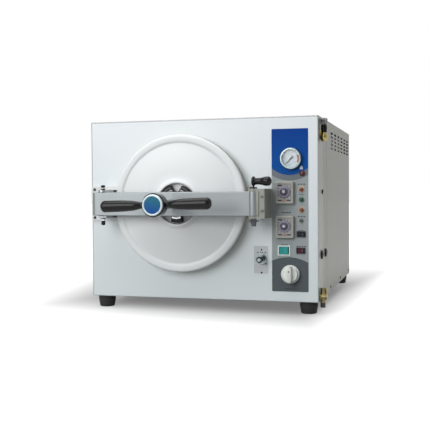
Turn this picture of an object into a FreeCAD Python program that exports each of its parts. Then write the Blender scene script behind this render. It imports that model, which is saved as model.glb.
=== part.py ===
"""Benchtop autoclave: a front-loading steam steriliser with a screw-down cross bar door.

Machine coordinates used while modelling, in millimetres:
  x from the left side of the case, y from the front panel towards the back, z from the case's bottom.
save() moves each piece to the row frame: bench level at z = 0, under the middle of the bounding box.
"""
import FreeCAD, Part
import math
import os

Vec = FreeCAD.Vector
X_AXIS = Vec(1, 0, 0)
Y_AXIS = Vec(0, 1, 0)
Z_AXIS = Vec(0, 0, 1)

# ---- case ----
CASE_D = 690.0
CASE_H = 450.0
SHEET = 1.5
BEND_R = 2.5
SEAM = 1.0
SIDE_RETURN = 86.0
TOP_RETURN = 40.0
BOTTOM_RETURN = 12.0
TOP_FLANGE_W = 15.0
REVEAL_DEPTH = 64.0
REVEAL_STEP = 0.5
REVEAL_W = 2.0
BASE_T = 2.0
BASE_LIP = 25.0
SADDLE_T = 6.0
SADDLE_W = 240.0
FOOT_H = 30.0
FOOT_TOP_R = 23.5
FOOT_LOW_R = 19.0
FOOT_LOW_EDGE = 1.5
FOOT_STUD_R = 4.0
FOOT_STUD_L = 8.0
FOOT_INSET_X = 27.5
FOOT_INSET_FRONT = 30.0
FOOT_INSET_BACK = 30.0

# ---- clearances ----
RUN_FIT = 0.05
GAP = 0.3
SLOT_GAP = 0.5
HOLE_GAP = 1.0

# ---- vents and screws ----
VENT_COLUMNS = 6
VENT_ROWS = 5
VENT_LENGTH = 44.0
VENT_HEIGHT = 5.5
VENT_PITCH_Y = 75.0
VENT_PITCH_Z = 10.0
VENT_BACK_MARGIN = 39.0
VENT_TOP_MARGIN = 70.0
SCREW_HEAD_R = 3.6
SCREW_HEAD_H = 2.0
SCREW_SOCKET_R = 1.4
SCREW_R = 2.0
SCREW_LENGTH = 6.0
COVER_SCREW_FRONT = 140.0
COVER_SCREW_BACK = 29.0
COVER_SCREW_Z = 12.0
BACK_SCREW_INSET = 30.0

# ---- chamber, gasket, insulation and what is inside ----
AXIS_RISE = 15.0
CHAMBER_R = 150.0
CHAMBER_WALL = 3.0
CHAMBER_END = 490.0
DISH_DEPTH = 40.0
DISH_WALL = 4.0
FLANGE_RING = 18.0
FLANGE_PROUD = 6.0
FLANGE_T = 18.0
PORT_BOSS_PROUD = 4.0
STEAM_PORT = (60.0, 80.0)
WATER_PORT = (50.0, -90.0)
GASKET_LAND = 4.0
GASKET_W = 8.0
GASKET_PROUD = 2.0
GASKET_EDGE_R = 0.8
GROOVE_DEPTH = 5.0
INSULATION_T = 20.0
INSULATION_START = 24.0
INSULATION_SHORT = 12.0
RACK_HALF_W = 95.0
RACK_SHEET = 1.5
RACK_START = 22.0
RACK_SHORT = 28.0
RACK_TOP = 78.0
RACK_FOOT_W = 15.0
RACK_WINDOWS = 3
RACK_POST = 45.0
RACK_RAIL = 12.0
LEDGE_W = 9.0
LEDGE_T = 2.0
LEDGE_HEIGHTS = (-70.0, 0.0)
TRAY_END_GAP = 5.0
TRAY_H = 18.0
TRAY_T = 1.5
TRAY_CORNER_R = 4.0
TRAY_HOLE_R = 5.0
TRAY_HOLE_PITCH = 45.0
TRAY_HOLE_MARGIN = 45.0
ELEMENT_R = 4.0
ELEMENT_HALF_W = 40.0
ELEMENT_BEND = 30.0
ELEMENT_LIFT = 20.0
ELEMENT_FRONT = 60.0
GLAND_R = 9.0
GLAND_L = 6.0
GLAND_INSET = 14.0

# ---- water tank ----
TANK_CHAMBER_GAP = 16.7
TANK_SIDE_GAP = 14.0
TANK_TOP_GAP = 25.0
TANK_Y0 = 330.0
TANK_D = 270.0
TANK_H = 225.0
TANK_WALL = 2.5
TANK_CORNER_R = 8.0
TANK_LEG = 15.0
TANK_LEG_INSET = 2.0
NECK_R = 20.0
NECK_BORE_R = 17.0
NECK_RISE = 4.0
CAP_R = 27.0
CAP_H = 14.0
CAP_EDGE_R = 3.0
CAP_RIBS = 12
CAP_FLUTE_R = 3.0
CAP_PLUG = 12.0

# ---- door ----
DOOR_SIDE_GAP = 1.5
DOOR_OVERHANG = 2.5
DOOR_T = 27.0
DOOR_EDGE_R = 6.0
RIM_W = 17.5
RIM_STEP = 3.0
RIM_SLOPE_W = 4.0
DOME_SLOPE_W = 74.0
DOME_H = 10.5
RECESS_R = 60.0
RECESS_FLOOR_R = 48.5
RECESS_DEPTH = 5.5
BOSS_H = 6.5
BOSS_IN_R = 52.0
BOSS_OUT_R = 56.0
BOSS_ROUND = 1.5
DOOR_SHELL = 8.0
COLLAR_R = 47.0
COLLAR_T = 16.0
COLLAR_EDGE_R = 3.0
COLLAR_NOTCHES = 6
COLLAR_NOTCH_R = 8.0

# ---- cross bar, hinge and latch ----
BAR_H = 58.0
BAR_T = 22.0
BAR_WALL = 5.0
BAR_COLLAR_GAP = 6.0
BAR_BEND = 10.0
BAR_BOSS = 26.0
BAR_END_SOLID = 23.0
BAR_EDGE_R = 2.0
HINGE_X = 60.0
HINGE_STUB = 27.0
HINGE_PIN_R = 5.0
HINGE_PIN_CAP_R = 6.0
HINGE_PIN_CAP_H = 12.0
HINGE_CLIP_H = 3.0
HINGE_PIN_TAIL = 17.7
LUG_T = 6.0
LUG_NOSE_R = 13.0
LUG_ROOT = 20.0
BRACKET_T = 5.0
BRACKET_X0 = 2.0
BRACKET_X1 = 78.0
BRACKET_HALF_H = 44.0
BRACKET_CORNER_R = 3.0
BRACKET_SCREW_X = 10.5
BRACKET_SCREW_RISE = 36.0
LATCH_DOOR_GAP = 25.5
LATCH_BARREL_R = 14.0
LATCH_PIN_R = 7.0
LATCH_FLAT = 4.0
LATCH_HOLE_R = 7.3
LATCH_MOUTH_IN = 5.9
LATCH_MOUTH_OUT = 5.0
LATCH_WALL_GAP = 1.0
LATCH_WALL_T = 15.0
LATCH_WALL_LEAD = 11.0
LATCH_SCREW_RISE = 16.5
LATCH_PIN_TAIL = 18.7
LATCH_TIP_H = 8.0
LATCH_TIP_R = 5.0
LATCH_COLLAR_R = 9.0
LATCH_COLLAR_H = 4.0
LATCH_NECK_R = 2.0
LATCH_CROSS_R = 2.0
LATCH_CROSS_HALF = 12.0
LATCH_CROSS_DROP = 6.0
LATCH_LEVER_RISE = 17.7
LATCH_LEVER_ANGLE = -5.0
LATCH_DISC_R = 11.5
LATCH_DISC_T = 4.5
LATCH_GRIP_L = 46.0
LATCH_GRIP_R0 = 7.5
LATCH_GRIP_R1 = 11.0

# ---- spindle and T handle ----
SPINDLE_R = 11.0
SPINDLE_BUTTON_R = 15.0
SPINDLE_BUTTON_T = 5.0
HANDLE_TILT = 1.6
HUB_R = 27.0
HUB_BACK = 188.0
HUB_L = 28.0
HUB_FACE_T = 8.0
HUB_EDGE_R = 4.0
HUB_SOCKET = 10.0
HUB_CAP_R = 24.3
HUB_CAP_T = 6.0
HUB_CAP_EDGE_R = 1.5
BADGE_R = 19.8
BADGE_SINK = 1.0
GRIP_END = 132.0
GRIP_ROOT_SINK = 9.0
GRIP_LIFT = 15.0
GRIP_NECK_R = 7.0
GRIP_NECK_END = 33.0
GRIP_SHOULDER = 16.0
GRIP_MID_R = 11.2
GRIP_R = 13.8
GRIP_FULL = 16.0
GRIP_TIP = 7.0
GRIP_TIP_R = 6.0
GRIP_TIP_EDGE_R = 4.0

# ---- control strip: places are offsets from its left edge and shares of its height ----
STRIP_W = 89.0
STRIP_MARGIN = 24.0
STRIP_Z0 = 25.5
STRIP_TOP_MARGIN = 30.5
STRIP_CORNER_R = 2.0
OVERLAY_T = 1.0
GAUGE_PLACE = (48.0, 0.8167)
GAUGE_R = 26.0
GAUGE_PROUD = 13.0
GAUGE_EDGE_R = 2.0
GAUGE_BODY_R = 24.0
GAUGE_BODY_L = 42.0
GAUGE_SOCKET_R = 6.0
GAUGE_SOCKET_L = 18.0
GAUGE_GLASS_R = 23.0
GAUGE_GLASS_T = 1.5
GAUGE_GLASS_LIP = 1.0
GAUGE_CAVITY = 3.0
GAUGE_DIAL_T = 1.0
NEEDLE_L = 17.0
NEEDLE_TAIL = 7.0
NEEDLE_TIP_HALF = 0.35
NEEDLE_MID_HALF = 1.1
NEEDLE_TAIL_HALF = 2.0
NEEDLE_LIFT = 3.5
NEEDLE_T = 0.8
NEEDLE_HUB_R = 2.6
NEEDLE_STEM_R = 1.0
NEEDLE_ZERO = 225.0
TIMER_PLACES = {"upper": (32.8, 0.6091), "lower": (32.8, 0.3985)}
TIMER_W = 44.0
TIMER_H = 54.0
TIMER_PROUD = 11.0
TIMER_CORNER_R = 3.0
TIMER_EDGE_R = 2.0
TIMER_BODY_W = 38.0
TIMER_BODY_H = 46.0
TIMER_BODY_L = 45.0
TIMER_KNOB_RISE = 2.0
DIAL_R = 14.5
DIAL_T = 2.0
DIAL_KNOB_R = 8.0
DIAL_KNOB_L = 7.0
DIAL_KNOB_BASE = 2.0
DIAL_GRIP_HALF = 5.0
DIAL_STEM_R = 3.0
DIAL_STEM_L = 5.0
LAMP_R = 5.0
LAMP_PROUD = 6.0
LAMP_BODY_L = 18.0
LAMP_RING_R = 7.0
LAMP_RING_T = 2.0
LAMP_PLACES = {
    "red_lamp": ((75.0, 0.7253),),
    "amber_lamps": ((73.0, 0.6277), (73.0, 0.5030)),
    "green_lamp": ((73.0, 0.5661),),
}
RESET_PLACE = (72.0, 0.4377)
RESET_R = 3.6
RESET_PROUD = 6.0
ROCKERS = {
    "mains_rocker": ((30.0, 0.2529), 24.0, 18.0, 3.2),
    "heat_rocker": ((72.0, 0.3543), 17.0, 10.0, 2.2),
    "dry_rocker": ((71.0, 0.2534), 17.0, 10.0, 2.2),
}
ROCKER_TILT = 6.0
ROCKER_SINK = 2.0
ROCKER_DEPTH = 7.0
ROCKER_CROWN = 2.2
ROCKER_DIP = 0.4
ROCKER_PIN_R = 1.2
HOUSING_L = 20.0
HOUSING_WALL = 1.5
HOUSING_FLANGE = 2.0
HOUSING_CORNER_R = 1.2
HOUSING_EDGE_R = 0.8
KNOB_PLACE = (45.8, 0.1078)
KNOB_R = 22.5
KNOB_SKIRT = 8.0
KNOB_CROWN = 6.0
KNOB_PROUD = 26.0
KNOB_GRIP_W = 11.0
KNOB_GRIP_INSET = 2.5
KNOB_STEM_R = 5.0
KNOB_STEM_SEAT = 18.0
VALVE_FRONT = 10.0
VALVE_BODY_R = 24.0
VALVE_BODY_L = 50.0
VALVE_PORT_L = 10.0
VALVE_LUG_W = 20.0
VALVE_LUG_T = 10.0
PLATE_GAP = 10.0
PLATE_W = 35.0
PLATE_Z0 = 68.0
PLATE_H = 67.5
TOGGLE_OFFSET = (18.7, 35.4)
TOGGLE_RING_R = 13.5
TOGGLE_RING_T = 3.0
TOGGLE_BUSH_R = 6.75
TOGGLE_BUSH_PROUD = 8.0
TOGGLE_BORE_R = 5.0
TOGGLE_CAN = (16.0, 22.0, 26.0)
TOGGLE_BALL_R = 8.0
TOGGLE_STALK_R = 2.5
TOGGLE_KNUCKLE_R = 4.6
TOGGLE_PIN_R = 1.2
TOGGLE_L = 20.0
TOGGLE_PIVOT = 5.0

# ---- fittings on the right side and the back ----
SIDE_REACH = 18.0
BACK_REACH = 15.0
RELIEF_Y = 38.0
RELIEF_R = 9.0
RELIEF_TOP_GAP = 20.0
RELIEF_H = 41.0
RELIEF_COLLAR_HALF = 8.0
RELIEF_CAP_H = 16.0
RELIEF_STEM_R = 2.0
DRAIN_Y = 25.0
DRAIN_Z = 12.0
DRAIN_R = 8.0
DRAIN_OUTLET_R = 6.2
DRAIN_OUTLET_L = 12.0
DRAIN_NUT_R = 6.5
DRAIN_NUT_H = 6.0
DRAIN_NECK_H = 21.0
DRAIN_BORE_R = 2.5
DRAIN_SPOUT_R = 3.5
DRAIN_LEVER_T = 3.5
DRAIN_LEVER_W = 8.0
DRAIN_LEVER_L = 20.0
SIDE_CAPS = ((-33.0, 112.0, 11.0), (35.0, 112.0, 11.0), (-19.0, 267.0, 6.0))
SIDE_CAP_PROUD = 0.45
SIDE_CAP_STEM = 0.7
SIDE_CAP_BODY = 26.0
INLET_SIDE = 85.0
INLET_Z = 74.0
INLET_W = 32.0
INLET_H = 24.0
INLET_WALL = 3.5
INLET_DEPTH = 17.0
INLET_FLOOR = 6.0
INLET_EAR = 9.0
INLET_RIM = 3.0
INLET_FLANGE = 2.5
INLET_PINS = ((-7.0, -1.5), (0.0, 2.5), (7.0, -1.5))
INLET_PIN_L = 11.0
INLET_PIN_W = 2.0
INLET_PIN_H = 5.0
OUTLET_SIDE = 12.0
OUTLET_RISE = 22.0
OUTLET_R = 5.0
OUTLET_NUT_R = 9.0
OUTLET_NUT_T = 4.0
OUTLET_NUT_STEM_R = 4.8
PIPE_R = 4.0
PIPE_BEND = 16.0
PIPE_BACK_GAP = 60.0
PIPE_TOP_GAP = 20.0
PIPE_LOW_Z = 32.0
BOARD_SIDE_GAP = 24.0
BOARD_T = 1.6
BOARD_Y0 = 170.0
BOARD_D = 130.0
BOARD_Z0 = 140.0
BOARD_H = 120.0
BOARD_POST_R = 3.0
BOARD_POST_INSET = 8.0
RELAYS = 3
RELAY_SIZE = (16.0, 28.0, 22.0)
TERMINAL_SIZE = (10.0, 48.0, 14.0)
RELAY_MARGIN = 15.0
RELAY_PITCH = 34.0
RELAY_SIDE = 20.0

# ---- worked out from the sizes above: round the chamber ----
FLANGE_R = CHAMBER_R + FLANGE_RING
GASKET_IN_R = CHAMBER_R + GASKET_LAND
GASKET_OUT_R = GASKET_IN_R + GASKET_W
SEAL_IN_R = CHAMBER_R - GASKET_LAND
DOOR_R = FLANGE_R + DOOR_OVERHANG
RIM_IN_R = DOOR_R - RIM_W
DOME_EDGE_R = RIM_IN_R - RIM_SLOPE_W
DOME_TOP_R = DOME_EDGE_R - DOME_SLOPE_W
LAGGING_R = CHAMBER_R + CHAMBER_WALL + GAP + INSULATION_T
AXIS_X = BRACKET_X1 + DOOR_SIDE_GAP + DOOR_R
AXIS_Z = CASE_H / 2 + AXIS_RISE
INSULATION_END = CHAMBER_END - INSULATION_SHORT
RACK_END = CHAMBER_END - RACK_SHORT
ELEMENT_DROP = CHAMBER_R - ELEMENT_LIFT

# ---- worked out: door, bar, hinge, latch and handle ----
PANEL_FACE = -OVERLAY_T
DOOR_BACK = -(FLANGE_PROUD + GASKET_PROUD)
DOOR_FRONT = DOOR_BACK - DOOR_T
DOME_TOP = DOOR_FRONT - DOME_H
RECESS_FLOOR = DOME_TOP + RECESS_DEPTH
COLLAR_FRONT = RECESS_FLOOR - COLLAR_T
RIDGE_Y = COLLAR_FRONT - BAR_COLLAR_GAP - BAR_T / 2
HINGE_Y = RIDGE_Y + BAR_BEND
BAR_Z0 = AXIS_Z - BAR_H / 2
BAR_Z1 = AXIS_Z + BAR_H / 2
LUG_ZS = (BAR_Z0 - GAP - LUG_T, BAR_Z1 + GAP)
LUG_TOP = LUG_ZS[1] + LUG_T
HINGE_PIN_TOP = LUG_TOP + HINGE_PIN_CAP_H
HINGE_PIN_LOW = LUG_ZS[0] - HINGE_PIN_TAIL
LATCH_X = AXIS_X + DOOR_R + LATCH_DOOR_GAP
LATCH_WALL_X0 = LATCH_X + LATCH_BARREL_R + LATCH_WALL_GAP
LATCH_WALL_X1 = LATCH_WALL_X0 + LATCH_WALL_T
LATCH_WALL_FRONT = LATCH_WALL_LEAD - HINGE_Y
LATCH_PIN_LOW = LUG_ZS[0] - LATCH_PIN_TAIL
LATCH_LEVER_Z = LUG_TOP + LATCH_LEVER_RISE
HUB_FRONT = HUB_BACK + HUB_L
FRONT_REACH = HUB_FRONT + HUB_CAP_T
GRIP_Y = -HUB_BACK - GRIP_LIFT

# ---- worked out: control strip and the width of the case ----
STRIP_X0 = LATCH_WALL_X1 + SEAM
STRIP_X1 = STRIP_X0 + STRIP_W
STRIP_Z1 = CASE_H - STRIP_TOP_MARGIN
CASE_W = STRIP_X1 + STRIP_MARGIN
PLATE_X1 = STRIP_X0 - PLATE_GAP
PLATE_X0 = PLATE_X1 - PLATE_W
TOGGLE_X = PLATE_X0 + TOGGLE_OFFSET[0]
TOGGLE_Z = PLATE_Z0 + TOGGLE_OFFSET[1]

# ---- worked out: tank, fittings and patterns ----
TANK_X0 = AXIS_X + LAGGING_R + TANK_CHAMBER_GAP
TANK_X1 = CASE_W - TANK_SIDE_GAP
TANK_Y1 = TANK_Y0 + TANK_D
TANK_Z1 = CASE_H - TANK_TOP_GAP
TANK_Z0 = TANK_Z1 - TANK_H
NECK_X = (TANK_X0 + TANK_X1) / 2
NECK_Y = (TANK_Y0 + TANK_Y1) / 2
OUTLET_X = NECK_X + OUTLET_SIDE
OUTLET_Z = TANK_Z0 + OUTLET_RISE
RELIEF_Z1 = CASE_H - RELIEF_TOP_GAP
RELIEF_Z0 = RELIEF_Z1 - RELIEF_H
RELIEF_MID = (RELIEF_Z0 + RELIEF_Z1) / 2
INLET_X = CASE_W - INLET_SIDE
BOARD_X = CASE_W - BOARD_SIDE_GAP
VENT_FIRST_Y = CASE_D - VENT_BACK_MARGIN - (VENT_COLUMNS - 1) * VENT_PITCH_Y - VENT_LENGTH
VENT_FIRST_Z = CASE_H - VENT_TOP_MARGIN
COVER_SCREWS = (SIDE_RETURN + COVER_SCREW_FRONT, CASE_D - COVER_SCREW_BACK)
COVER_SCREW_DEPTHS = (COVER_SCREWS[0], sum(COVER_SCREWS) / 2, COVER_SCREWS[1])
SHIFT = Vec(
    -(CASE_W + SIDE_REACH - SCREW_HEAD_H) / 2,
    (FRONT_REACH - CASE_D - BACK_REACH) / 2,
    FOOT_H,
)


# ---- helpers ----
def save(node, shape):
    """Move a piece to the row frame and write it to its own STEP file."""
    moved = shape.copy()
    moved.translate(SHIFT)
    moved.exportStep("parts/%s.step" % node)


def block(x0, x1, y0, y1, z0, z1):
    return Part.makeBox(x1 - x0, y1 - y0, z1 - z0, Vec(x0, y0, z0))


def rod(radius, start, end):
    """Cylinder between two points."""
    axis = end - start
    return Part.makeCylinder(radius, axis.Length, start, axis)


def rod_y(radius, x, z, y0, y1):
    return rod(radius, Vec(x, y0, z), Vec(x, y1, z))


def rod_z(radius, x, y, z0, z1):
    return rod(radius, Vec(x, y, z0), Vec(x, y, z1))


def rod_x(radius, y, z, x0, x1):
    return rod(radius, Vec(x0, y, z), Vec(x1, y, z))


def edges_along(shape, axis):
    """Straight edges parallel to an axis."""
    found = []
    for edge in shape.Edges:
        if isinstance(edge.Curve, Part.Line):
            run = edge.Vertexes[-1].Point - edge.Vertexes[0].Point
            if run.cross(axis).Length < 1e-6 * run.Length:
                found.append(edge)
    return found


def edges_at_y(shape, y):
    """Edges that lie in the plane at one depth."""
    return [e for e in shape.Edges if abs(e.BoundBox.YMin - y) < 1e-4 and abs(e.BoundBox.YMax - y) < 1e-4]


def soft_block(x0, x1, y0, y1, z0, z1, corner, front=0.0):
    """Block whose corners along y are rounded and whose front edge can be rounded too."""
    body = block(x0, x1, y0, y1, z0, z1)
    body = body.makeFillet(corner, edges_along(body, Y_AXIS))
    if front > 0:
        body = body.makeFillet(front, edges_at_y(body, y0))
    return body


def turned(points, x, z):
    """Solid of revolution about a y axis at (x, z), from (radius, y) points or ready edges."""
    edges = []
    for start, end in zip(points, points[1:] + points[:1]):
        if len(start) == 3:
            edges.append(Part.Arc(at_r(start), at_r(start[2]), at_r(end)).toShape())
        else:
            edges.append(Part.makeLine(at_r(start), at_r(end)))
    face = Part.Face(Part.Wire(edges))
    solid = face.revolve(Vec(0, 0, 0), Y_AXIS, 360)
    solid.translate(Vec(x, 0, z))
    return solid


def at_r(point):
    return Vec(point[0], point[1], 0)


def prism(points, z0, z1):
    """Polygon in plan, extruded upwards."""
    corners = [Vec(x, y, z0) for x, y in points]
    face = Part.Face(Part.makePolygon(corners + corners[:1]))
    return face.extrude(Vec(0, 0, z1 - z0))


def bent_pipe(points, radius, bend):
    """Round bar along straight runs joined by tangent arcs."""
    edges = []
    last = points[0]
    for before, corner, after in zip(points, points[1:], points[2:]):
        back = (before - corner).normalize()
        ahead = (after - corner).normalize()
        half = back.getAngle(ahead) / 2
        trim = bend / math.tan(half)
        middle = (back + ahead).normalize()
        reach = bend / math.sin(half) - bend
        start = corner + back * trim
        end = corner + ahead * trim
        edges.append(Part.makeLine(last, start))
        edges.append(Part.Arc(start, corner + middle * reach, end).toShape())
        last = end
    edges.append(Part.makeLine(last, points[-1]))
    path = Part.Wire(edges)
    circle = Part.makeCircle(radius, points[0], points[1] - points[0])
    return path.makePipeShell([Part.Wire([circle])], True, True)


def dish_arc_point(edge_r, edge_y, top_y):
    """Point halfway along the arc from the axis to the edge of a dished end."""
    rise = top_y - edge_y
    ball = (edge_r ** 2 + rise ** 2) / (2 * rise)
    half = math.asin(edge_r / ball) / 2
    return (ball * math.sin(half), top_y - ball * (1 - math.cos(half)))


def join(first, *others):
    return first.fuse(list(others)).removeSplitter()


# ---- apertures shared by the front panel and the control panel ----
def on_strip(place):
    """Machine x and z of a place on the control strip."""
    offset, share = place
    return STRIP_X0 + offset, STRIP_Z0 + share * (STRIP_Z1 - STRIP_Z0)


def control_apertures():
    """Cutters through the front panel for all that passes it on the control strip."""
    y0 = PANEL_FACE - 1
    y1 = SHEET + 1
    gauge_x, gauge_z = on_strip(GAUGE_PLACE)
    knob_x, knob_z = on_strip(KNOB_PLACE)
    reset_x, reset_z = on_strip(RESET_PLACE)
    cutters = [
        rod_y(GAUGE_BODY_R + GAP, gauge_x, gauge_z, y0, y1),
        rod_y(KNOB_STEM_R + HOLE_GAP, knob_x, knob_z, y0, y1),
        rod_y(RESET_R + HOUSING_WALL + GAP, reset_x, reset_z, y0, y1),
    ]
    for place in TIMER_PLACES.values():
        x, z = on_strip(place)
        half_w = TIMER_BODY_W / 2 + GAP
        half_h = TIMER_BODY_H / 2 + GAP
        cutters.append(block(x - half_w, x + half_w, y0, y1, z - half_h, z + half_h))
    for places in LAMP_PLACES.values():
        for place in places:
            x, z = on_strip(place)
            cutters.append(rod_y(LAMP_R + GAP, x, z, y0, y1))
    for place, width, height, _ in ROCKERS.values():
        x, z = on_strip(place)
        half_w = width / 2 + SLOT_GAP + HOUSING_WALL + GAP
        half_h = height / 2 + SLOT_GAP + HOUSING_WALL + GAP
        cutters.append(block(x - half_w, x + half_w, y0, y1, z - half_h, z + half_h))
    return cutters


def toggle_aperture():
    return rod_y(TOGGLE_BUSH_R + GAP, TOGGLE_X, TOGGLE_Z, PANEL_FACE - 1, SHEET + 1)


# ---- screws: one list of (head centre, direction into the sheet) ----
def screw_seats():
    seats = []
    for depth in COVER_SCREW_DEPTHS:
        seats.append((Vec(CASE_W, depth, COVER_SCREW_Z), -X_AXIS))
        seats.append((Vec(0, depth, COVER_SCREW_Z), X_AXIS))
    for side in (-1, 1):
        bracket_z = AXIS_Z + side * BRACKET_SCREW_RISE
        latch_z = AXIS_Z + side * LATCH_SCREW_RISE
        seats.append((Vec(BRACKET_SCREW_X, -BRACKET_T, bracket_z), Y_AXIS))
        seats.append((Vec((LATCH_WALL_X0 + LATCH_WALL_X1) / 2, -LATCH_WALL_FRONT, latch_z), Y_AXIS))
    for x in (BACK_SCREW_INSET, CASE_W - BACK_SCREW_INSET):
        for z in (BACK_SCREW_INSET, CASE_H - BACK_SCREW_INSET):
            seats.append((Vec(x, CASE_D, z), -Y_AXIS))
    return seats


def screw_holes():
    holes = []
    for seat, way in screw_seats():
        holes.append(rod(SCREW_R + RUN_FIT, seat - way, seat + way * (SCREW_LENGTH + HOLE_GAP)))
    return holes


def make_screws():
    screws = []
    for seat, way in screw_seats():
        head = rod(SCREW_HEAD_R, seat - way * SCREW_HEAD_H, seat)
        rim = [e for e in head.Edges if isinstance(e.Curve, Part.Circle)
               and (e.Curve.Center - (seat - way * SCREW_HEAD_H)).Length < 1e-6]
        head = head.makeFillet(SCREW_HEAD_H * 0.6, rim)
        slot_centre = seat - way * SCREW_HEAD_H
        socket = rod(SCREW_SOCKET_R, slot_centre - way, slot_centre + way * (SCREW_HEAD_H / 2))
        screws.append(head.cut(socket).fuse(rod(SCREW_R, seat, seat + way * SCREW_LENGTH)).removeSplitter())
    save("screws", Part.makeCompound(screws))


# ---- case ----
def vent_cutters(x0, x1):
    cutters = []
    for column in range(VENT_COLUMNS):
        for row in range(VENT_ROWS):
            y = VENT_FIRST_Y + column * VENT_PITCH_Y
            z = VENT_FIRST_Z + row * VENT_PITCH_Z
            slot = block(x0, x1, y, y + VENT_LENGTH, z, z + VENT_HEIGHT)
            cutters.append(slot.makeFillet(VENT_HEIGHT * 0.45, edges_along(slot, X_AXIS)))
    return cutters


def foot_places():
    for x in (FOOT_INSET_X, CASE_W - FOOT_INSET_X):
        for y in (FOOT_INSET_FRONT, CASE_D - FOOT_INSET_BACK):
            yield x, y


def make_base_tray():
    x0 = SHEET
    x1 = CASE_W - SHEET
    y0 = BOTTOM_RETURN + SEAM
    y1 = CASE_D - SHEET
    pan = block(x0, x1, y0, y1, 0, BASE_LIP)
    pan = pan.cut(block(x0 + SHEET, x1 - SHEET, y0 + SHEET, y1 - SHEET, BASE_T, BASE_LIP + 1))
    saddles = []
    for y in (FLANGE_T - FLANGE_PROUD + 2 * SEAM, INSULATION_END + 2 * SEAM):
        plate = block(AXIS_X - SADDLE_W / 2, AXIS_X + SADDLE_W / 2, y, y + SADDLE_T,
                      0, AXIS_Z - CHAMBER_R / 2)
        seat = rod_y(CHAMBER_R + CHAMBER_WALL + GAP, AXIS_X, AXIS_Z, y - 1, y + SADDLE_T + 1)
        saddles.append(plate.cut(seat))
    tray = join(pan, *saddles)
    for x, y in foot_places():
        tray = tray.cut(rod_z(FOOT_STUD_R + GAP, x, y, -1, BASE_T + 1))
    drain = rod_x(DRAIN_R / 2 + HOLE_GAP, DRAIN_Y, DRAIN_Z, x1 - 5, x1 + 5)
    save("base_tray", tray.cut([drain] + screw_holes()))


def make_feet():
    feet = []
    for x, y in foot_places():
        pad = Part.makeCone(FOOT_LOW_R, FOOT_TOP_R, FOOT_H, Vec(x, y, -FOOT_H), Z_AXIS)
        low = [e for e in pad.Edges if abs(e.BoundBox.ZMax + FOOT_H) < 1e-4]
        pad = pad.makeFillet(FOOT_LOW_EDGE, low)
        feet.append(pad.fuse(rod_z(FOOT_STUD_R, x, y, 0, FOOT_STUD_L)).removeSplitter())
    save("feet", Part.makeCompound(feet))


def make_front_panel():
    shell = block(0, CASE_W, 0, SIDE_RETURN, 0, CASE_H)
    shell = shell.makeFillet(BEND_R, edges_at_y(shell, 0))
    hollow = block(SHEET, CASE_W - SHEET, SHEET, SIDE_RETURN + 1, SHEET, CASE_H - SHEET)
    top = block(SHEET, CASE_W - SHEET, TOP_RETURN, SIDE_RETURN + 1, CASE_H - SHEET - 1, CASE_H + 1)
    bottom = block(SHEET, CASE_W - SHEET, BOTTOM_RETURN, SIDE_RETURN + 1, -1, SHEET + 1)
    port = rod_y(FLANGE_R + HOLE_GAP, AXIS_X, AXIS_Z, -1, SHEET + 1)
    relief = rod_x(RELIEF_R / 2 + HOLE_GAP, RELIEF_Y, RELIEF_MID, CASE_W - 5, CASE_W + 5)
    drain = rod_x(DRAIN_R / 2 + HOLE_GAP, DRAIN_Y, DRAIN_Z, CASE_W - 5, CASE_W + 5)
    cuts = [hollow, top, bottom, port, relief, drain, toggle_aperture()]
    cuts += control_apertures() + screw_holes() + side_cap_holes()
    save("front_panel", shell.cut(cuts))


def side_cap_holes():
    holes = []
    for offset, z, r in SIDE_CAPS:
        holes.append(rod_x(r * SIDE_CAP_STEM + GAP, SIDE_RETURN + offset, z, CASE_W - 5, CASE_W + 5))
    return holes


def make_side_cover(node, outer_x, inner_x):
    """Flat cover with a shallow reveal line, vents and screw holes."""
    x0 = min(outer_x, inner_x)
    x1 = max(outer_x, inner_x)
    y0 = SIDE_RETURN + SEAM
    sheet = block(x0, x1, y0, CASE_D, 0, CASE_H)
    reveal_y = y0 + REVEAL_DEPTH
    reveal = block(x0, x1, reveal_y, reveal_y + REVEAL_W, 0, CASE_H)
    away = X_AXIS * (CASE_W if outer_x < inner_x else -CASE_W)
    reveal.translate(away.normalize() * -(SHEET - REVEAL_STEP))
    sheet = sheet.cut([reveal] + vent_cutters(x0 - 1, x1 + 1) + screw_holes() + side_cap_holes())
    save(node, sheet)


def make_top_cover():
    x0 = SHEET + GAP
    x1 = CASE_W - SHEET - GAP
    y0 = TOP_RETURN + SEAM
    sheet = block(x0, x1, y0, CASE_D, CASE_H - SHEET, CASE_H)
    flanges = []
    for flange_x in (x0, x1 - SHEET):
        flanges.append(block(flange_x, flange_x + SHEET, SIDE_RETURN + SEAM, CASE_D - 2 * SHEET,
                             CASE_H - TOP_FLANGE_W, CASE_H))
    cover = join(sheet, *flanges)
    hole = rod_z(NECK_R + HOLE_GAP, NECK_X, NECK_Y, CASE_H - 5, CASE_H + 5)
    save("top_cover", cover.cut(hole))


def make_back_panel():
    y0 = CASE_D - SHEET
    panel = block(SHEET + GAP, CASE_W - SHEET - GAP, y0, CASE_D, 0, CASE_H - SHEET)
    inlet = block(INLET_X - INLET_W / 2, INLET_X + INLET_W / 2, y0 - 1, CASE_D + 1,
                  INLET_Z - INLET_H / 2, INLET_Z + INLET_H / 2)
    outlet = rod_y(PIPE_R + HOLE_GAP, OUTLET_X, OUTLET_Z, y0 - 1, CASE_D + 1)
    cuts = [inlet, outlet] + screw_holes()
    for row in range(VENT_ROWS):
        for column in range(VENT_COLUMNS // 2):
            x = CASE_W / 2 + (column - 1.5) * VENT_PITCH_Y
            z = VENT_FIRST_Z + row * VENT_PITCH_Z
            cuts.append(block(x, x + VENT_LENGTH, y0 - 1, CASE_D + 1, z, z + VENT_HEIGHT))
    save("back_panel", panel.cut(cuts))


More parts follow.
